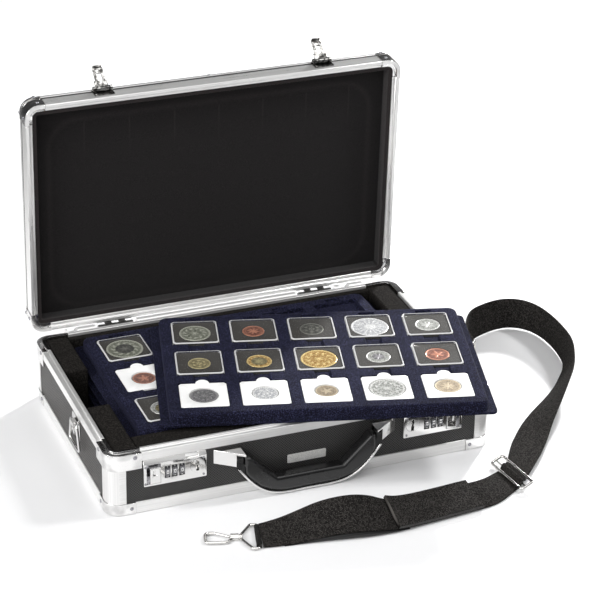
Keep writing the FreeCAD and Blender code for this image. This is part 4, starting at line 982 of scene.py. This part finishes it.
lv, lf = [], []
for sx in (-1, 1):
    for sy in (-1, 1):
        for z in (92.0, 78.0):
            dome(lv, lf, lid_pt((sx * 197, sy * (D2 + 0.6), z)), lid_dir((0, sy, 0)), 1.9, 0.8)
            dome(lv, lf, lid_pt((sx * (W2 + 0.6), sy * 120, z)), lid_dir((sx, 0, 0)), 1.9, 0.8)
for sy in (-1, 1):
    dome(lv, lf, lid_pt((-3, sy * D2, 92.0)), lid_dir((0, sy, 0)), 1.9, 0.7)
lo = new_obj("lid_rivet_heads", lv, lf, M_STEEL, "lid", angle=60)
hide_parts("lid_rivets")


# ------------------------------------------------------------------ shoulder pad on the strap's front run
def xs_index(x):
    return min((i for i in range(NPATH) if PATH[i].y < -0.19), key=lambda i: abs(PATH[i].x - x * MM))


def pad_profile(width, thick, bulge=0.25, n=16):
    pts = []
    h = thick / 2
    for k in range(n + 1):
        a = -1 + 2 * k / n
        pts.append((a * (width / 2 - 0.5), h * (0.92 + bulge * 0.5 * (1 - a * a))))
    pts += [(width / 2 - 0.15, h * 0.8), (width / 2, h * 0.45), (width / 2, -h * 0.45), (width / 2 - 0.15, -h * 0.85)]
    for k in range(n + 1):
        a = 1 - 2 * k / n
        pts.append((a * (width / 2 - 0.5), -h))
    pts += [(-width / 2 + 0.15, -h * 0.85), (-width / 2, -h * 0.45), (-width / 2, h * 0.45), (-width / 2 + 0.15, h * 0.8)]
    return pts


# the route's normal points down into the surface or up depending on the run: find which way is up here
pi0, pi1 = sorted((xs_index(150.0), xs_index(52.0)))
UPS = 1.0 if NRM[(pi0 + pi1) // 2].z > 0 else -1.0
M_PADTOP = webbing_mat("pad_weave", (0.0070, 0.0066, 0.0063), (0.122, 0.113, 0.105), 1.2, 1.2)
M_PADEDGE = fuzzy("pad_edge", (0.055, 0.054, 0.053), (0.15, 0.147, 0.143), rough=0.75, sheen=0.2, scale=1400.0)
pp = pad_profile(WEB_W + 1.6, 4.4)
pad = sweep("strap_pad_padded", pi0, pi1, [(x, y * UPS) for x, y in pp], M_PADTOP, "base",
            off=UPS * (WEB_T / 2 + 2.25 + 0.2))
pad.data.materials.append(M_PADEDGE)
mcount = len(pp)
for fi, f in enumerate(pad.data.polygons):
    k = fi % mcount
    if fi < mcount * (pi1 - pi0) and (17 <= k <= 20 or k >= mcount - 4):
        f.material_index = 1
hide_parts("strap_pad")

# ------------------------------------------------------------------ strap's end, folded round the left loop's bar
def end_fold(name, origin, u, v, n, half):
    """a band round the bar of radius 1.5 mm that stands 13.5 mm behind the loop's origin"""
    prof = [(2.9, 0.0), (2.7, 1.3), (2.0, 2.1), (1.0, 2.6), (0.0, 2.75), (-1.1, 2.6), (-2.1, 1.9), (-2.65, 0.9),
            (-2.75, 0.0), (-2.4, -0.9), (-1.6, -1.55), (-0.6, -1.88), (0.6, -1.92), (1.6, -1.88), (2.6, -1.6), (2.9, -0.9)]
    verts, faces = [], []
    m = len(prof)
    for j in (-half, half):
        for ring_r in (None, 1.56):
            for (a, b) in prof:
                if ring_r:
                    l = math.hypot(a, b)
                    a, b = a / l * ring_r, b / l * ring_r
                p = origin + u * (-13.5 - a) + v * j + n * b
                verts.append(p * MM)
    for k in range(m):
        k2 = (k + 1) % m
        faces.append((k, k2, 2 * m + k2, 2 * m + k))
        faces.append((m + k2, m + k, 3 * m + k, 3 * m + k2))
        faces.append((k2, k, m + k, m + k2))
        faces.append((2 * m + k, 2 * m + k2, 3 * m + k2, 3 * m + k))
    o = new_obj(name, verts, faces, [M_FOLD], "base", smooth=True, angle=50.0)
    return o


M_FOLD = fuzzy("strap_fold", (0.010, 0.0096, 0.0092), (0.085, 0.080, 0.075), rough=0.85, sheen=0.1, scale=900.0)
FU = Vector((-0.962, 0.272, 0)).normalized()
fold_left = end_fold("strap_fold_left", Vector((-96.0, -215.5, 2.0)), FU, Vector((FU.y, -FU.x, 0)), Vector((0, 0, 1)), 18.6)

# smooth dark sheet under the raised part of the strap, turned down from its front edge to the surface: it stands for
# the strap's dark underside and is partly painted shade for the space beneath
M_UNDER = plastic("pad_backing", (0.0075, 0.0074, 0.0073), 0.38, 500.0, 0.00008, 0.5)
bi = [i for i in range(NPATH) if PATH[i].y < -0.19 and -0.062 < PATH[i].x < 0.066]
bv, bf = [], []
for i in bi:
    f = EDGE_B[i] if EDGE_B[i].y < EDGE_A[i].y else EDGE_A[i]
    zt = max(f.z - 0.0010, 0.0008)
    out = [(0.0004, zt), (-0.0012, zt * 0.66), (-0.0013, zt * 0.33), (0.0002, 0.0003)]
    sec = out + [(y + 0.0011, z) for y, z in out[::-1]]
    for y, z in sec:
        bv.append((f.x, f.y + 0.0012 + y, z))
for k in range(len(bi) - 1):
    for c in range(8):
        c2 = (c + 1) % 8
        bf.append((8 * k + c, 8 * k + c2, 8 * k + 8 + c2, 8 * k + 8 + c))
bf.append(tuple(range(8)))
bf.append(tuple(8 * (len(bi) - 1) + c for c in reversed(range(8))))
underside_shade = new_obj("strap_pad_backing", bv, bf, [M_UNDER], "base", angle=60.0)

# ------------------------------------------------------------------ stage: floor, backdrop, light
def stage_mat():
    m = Mat("floor_white", (0.86, 0.86, 0.865), 0.0, 0.55, Specular_IOR_Level=0.25)
    # painted reflection: for glossy rays the floor's colour turns dark beyond the lit sweep, so polished parts mirror
    # dark surroundings
    d = m.math("SUBTRACT", m.add("ShaderNodeVectorMath", {"operation": "LENGTH"}, Vector=m.co).outputs["Value"], 0.0)
    far = m.remap(d, 0.45, 1.1, 0.0, 0.93)
    f = m.math("MULTIPLY", far, m.add("ShaderNodeLightPath").outputs["Is Glossy Ray"])
    m.color(m.ramp(f, [(0.0, (0.86, 0.86, 0.865)), (1.0, (0.02, 0.02, 0.02))]))
    return m.m


fm = bpy.data.meshes.new("floor")
fv, ff = [], []
prof_f = [(-4.0, 0.0), (1.6, 0.0)] + [(1.6 + 0.9 * math.sin(a), 0.9 - 0.9 * math.cos(a)) for a in
                                      [math.radians(9 * k) for k in range(1, 11)]] + [(2.5, 5.0)]
fwd = Vector((FORE.x, FORE.y, 0)).normalized()
sid = Vector((fwd.y, -fwd.x, 0))
for (d, z) in prof_f:
    for s in (-6.0, 6.0):
        p = fwd * d + sid * s
        fv.append((p.x, p.y, z - 0.0002))
for k in range(len(prof_f) - 1):
    ff.append((2 * k, 2 * k + 1, 2 * k + 3, 2 * k + 2))
fm.from_pydata(fv, [], ff)
fm.materials.append(stage_mat())
fm.shade_smooth()
floor = bpy.data.objects.new("floor", fm)
bpy.context.collection.objects.link(floor)

bpy.context.scene.view_settings.view_transform = "Standard"
world = bpy.data.worlds.new("studio")
bpy.context.scene.world = world
world.use_nodes = True
wt = world.node_tree
bg = wt.nodes["Background"]
wtc = wt.nodes.new("ShaderNodeTexCoord")
wsep = wt.nodes.new("ShaderNodeSeparateXYZ")
wt.links.new(wtc.outputs["Generated"], wsep.inputs[0])
wr = wt.nodes.new("ShaderNodeValToRGB")
wt.links.new(wsep.outputs[2], wr.inputs[0])
el = wr.color_ramp.elements
el[0].position, el[0].color = 0.0, (0.30, 0.30, 0.305, 1)
el[1].position, el[1].color = 0.18, (0.10, 0.10, 0.105, 1)
e = el.new(0.5)
e.color = (0.08, 0.08, 0.085, 1)
e = el.new(0.85)
e.color = (0.55, 0.55, 0.55, 1)
wt.links.new(wr.outputs[0], bg.inputs["Color"])
wlp = wt.nodes.new("ShaderNodeLightPath")
wmr = wt.nodes.new("ShaderNodeMapRange")
wt.links.new(wlp.outputs["Is Glossy Ray"], wmr.inputs[0])
wmr.inputs[3].default_value, wmr.inputs[4].default_value = 0.6, 1.5
wt.links.new(wmr.outputs[0], bg.inputs["Strength"])


def area(name, loc, target, size, power, color=(1, 1, 1)):
    d = bpy.data.lights.new(name, "AREA")
    d.shape = "RECTANGLE"
    d.size, d.size_y = size
    d.energy = power
    d.color = color
    o = bpy.data.objects.new(name, d)
    bpy.context.collection.objects.link(o)
    o.location = loc
    v = Vector(target) - Vector(loc)
    o.rotation_euler = v.to_track_quat("-Z", "Y").to_euler()
    return o


area("key", (1.20, 0.98, 0.75), (0.25, 0.0, 0.03), (0.12, 0.12), 33)
area("right", (1.5, -0.35, 1.6), (0.15, -0.1, 0.0), (0.3, 0.3), 18)
area("left", (-2.3, -0.5, 1.25), (-0.1, 0, 0.05), (1.5, 1.3), 50)
area("fill", (-1.2, -2.1, 1.5), (0, 0, 0.1), (1.8, 1.4), 22)
area("top", (0.1, -0.2, 2.6), (0.1, -0.05, 0), (2.2, 2.2), 14)

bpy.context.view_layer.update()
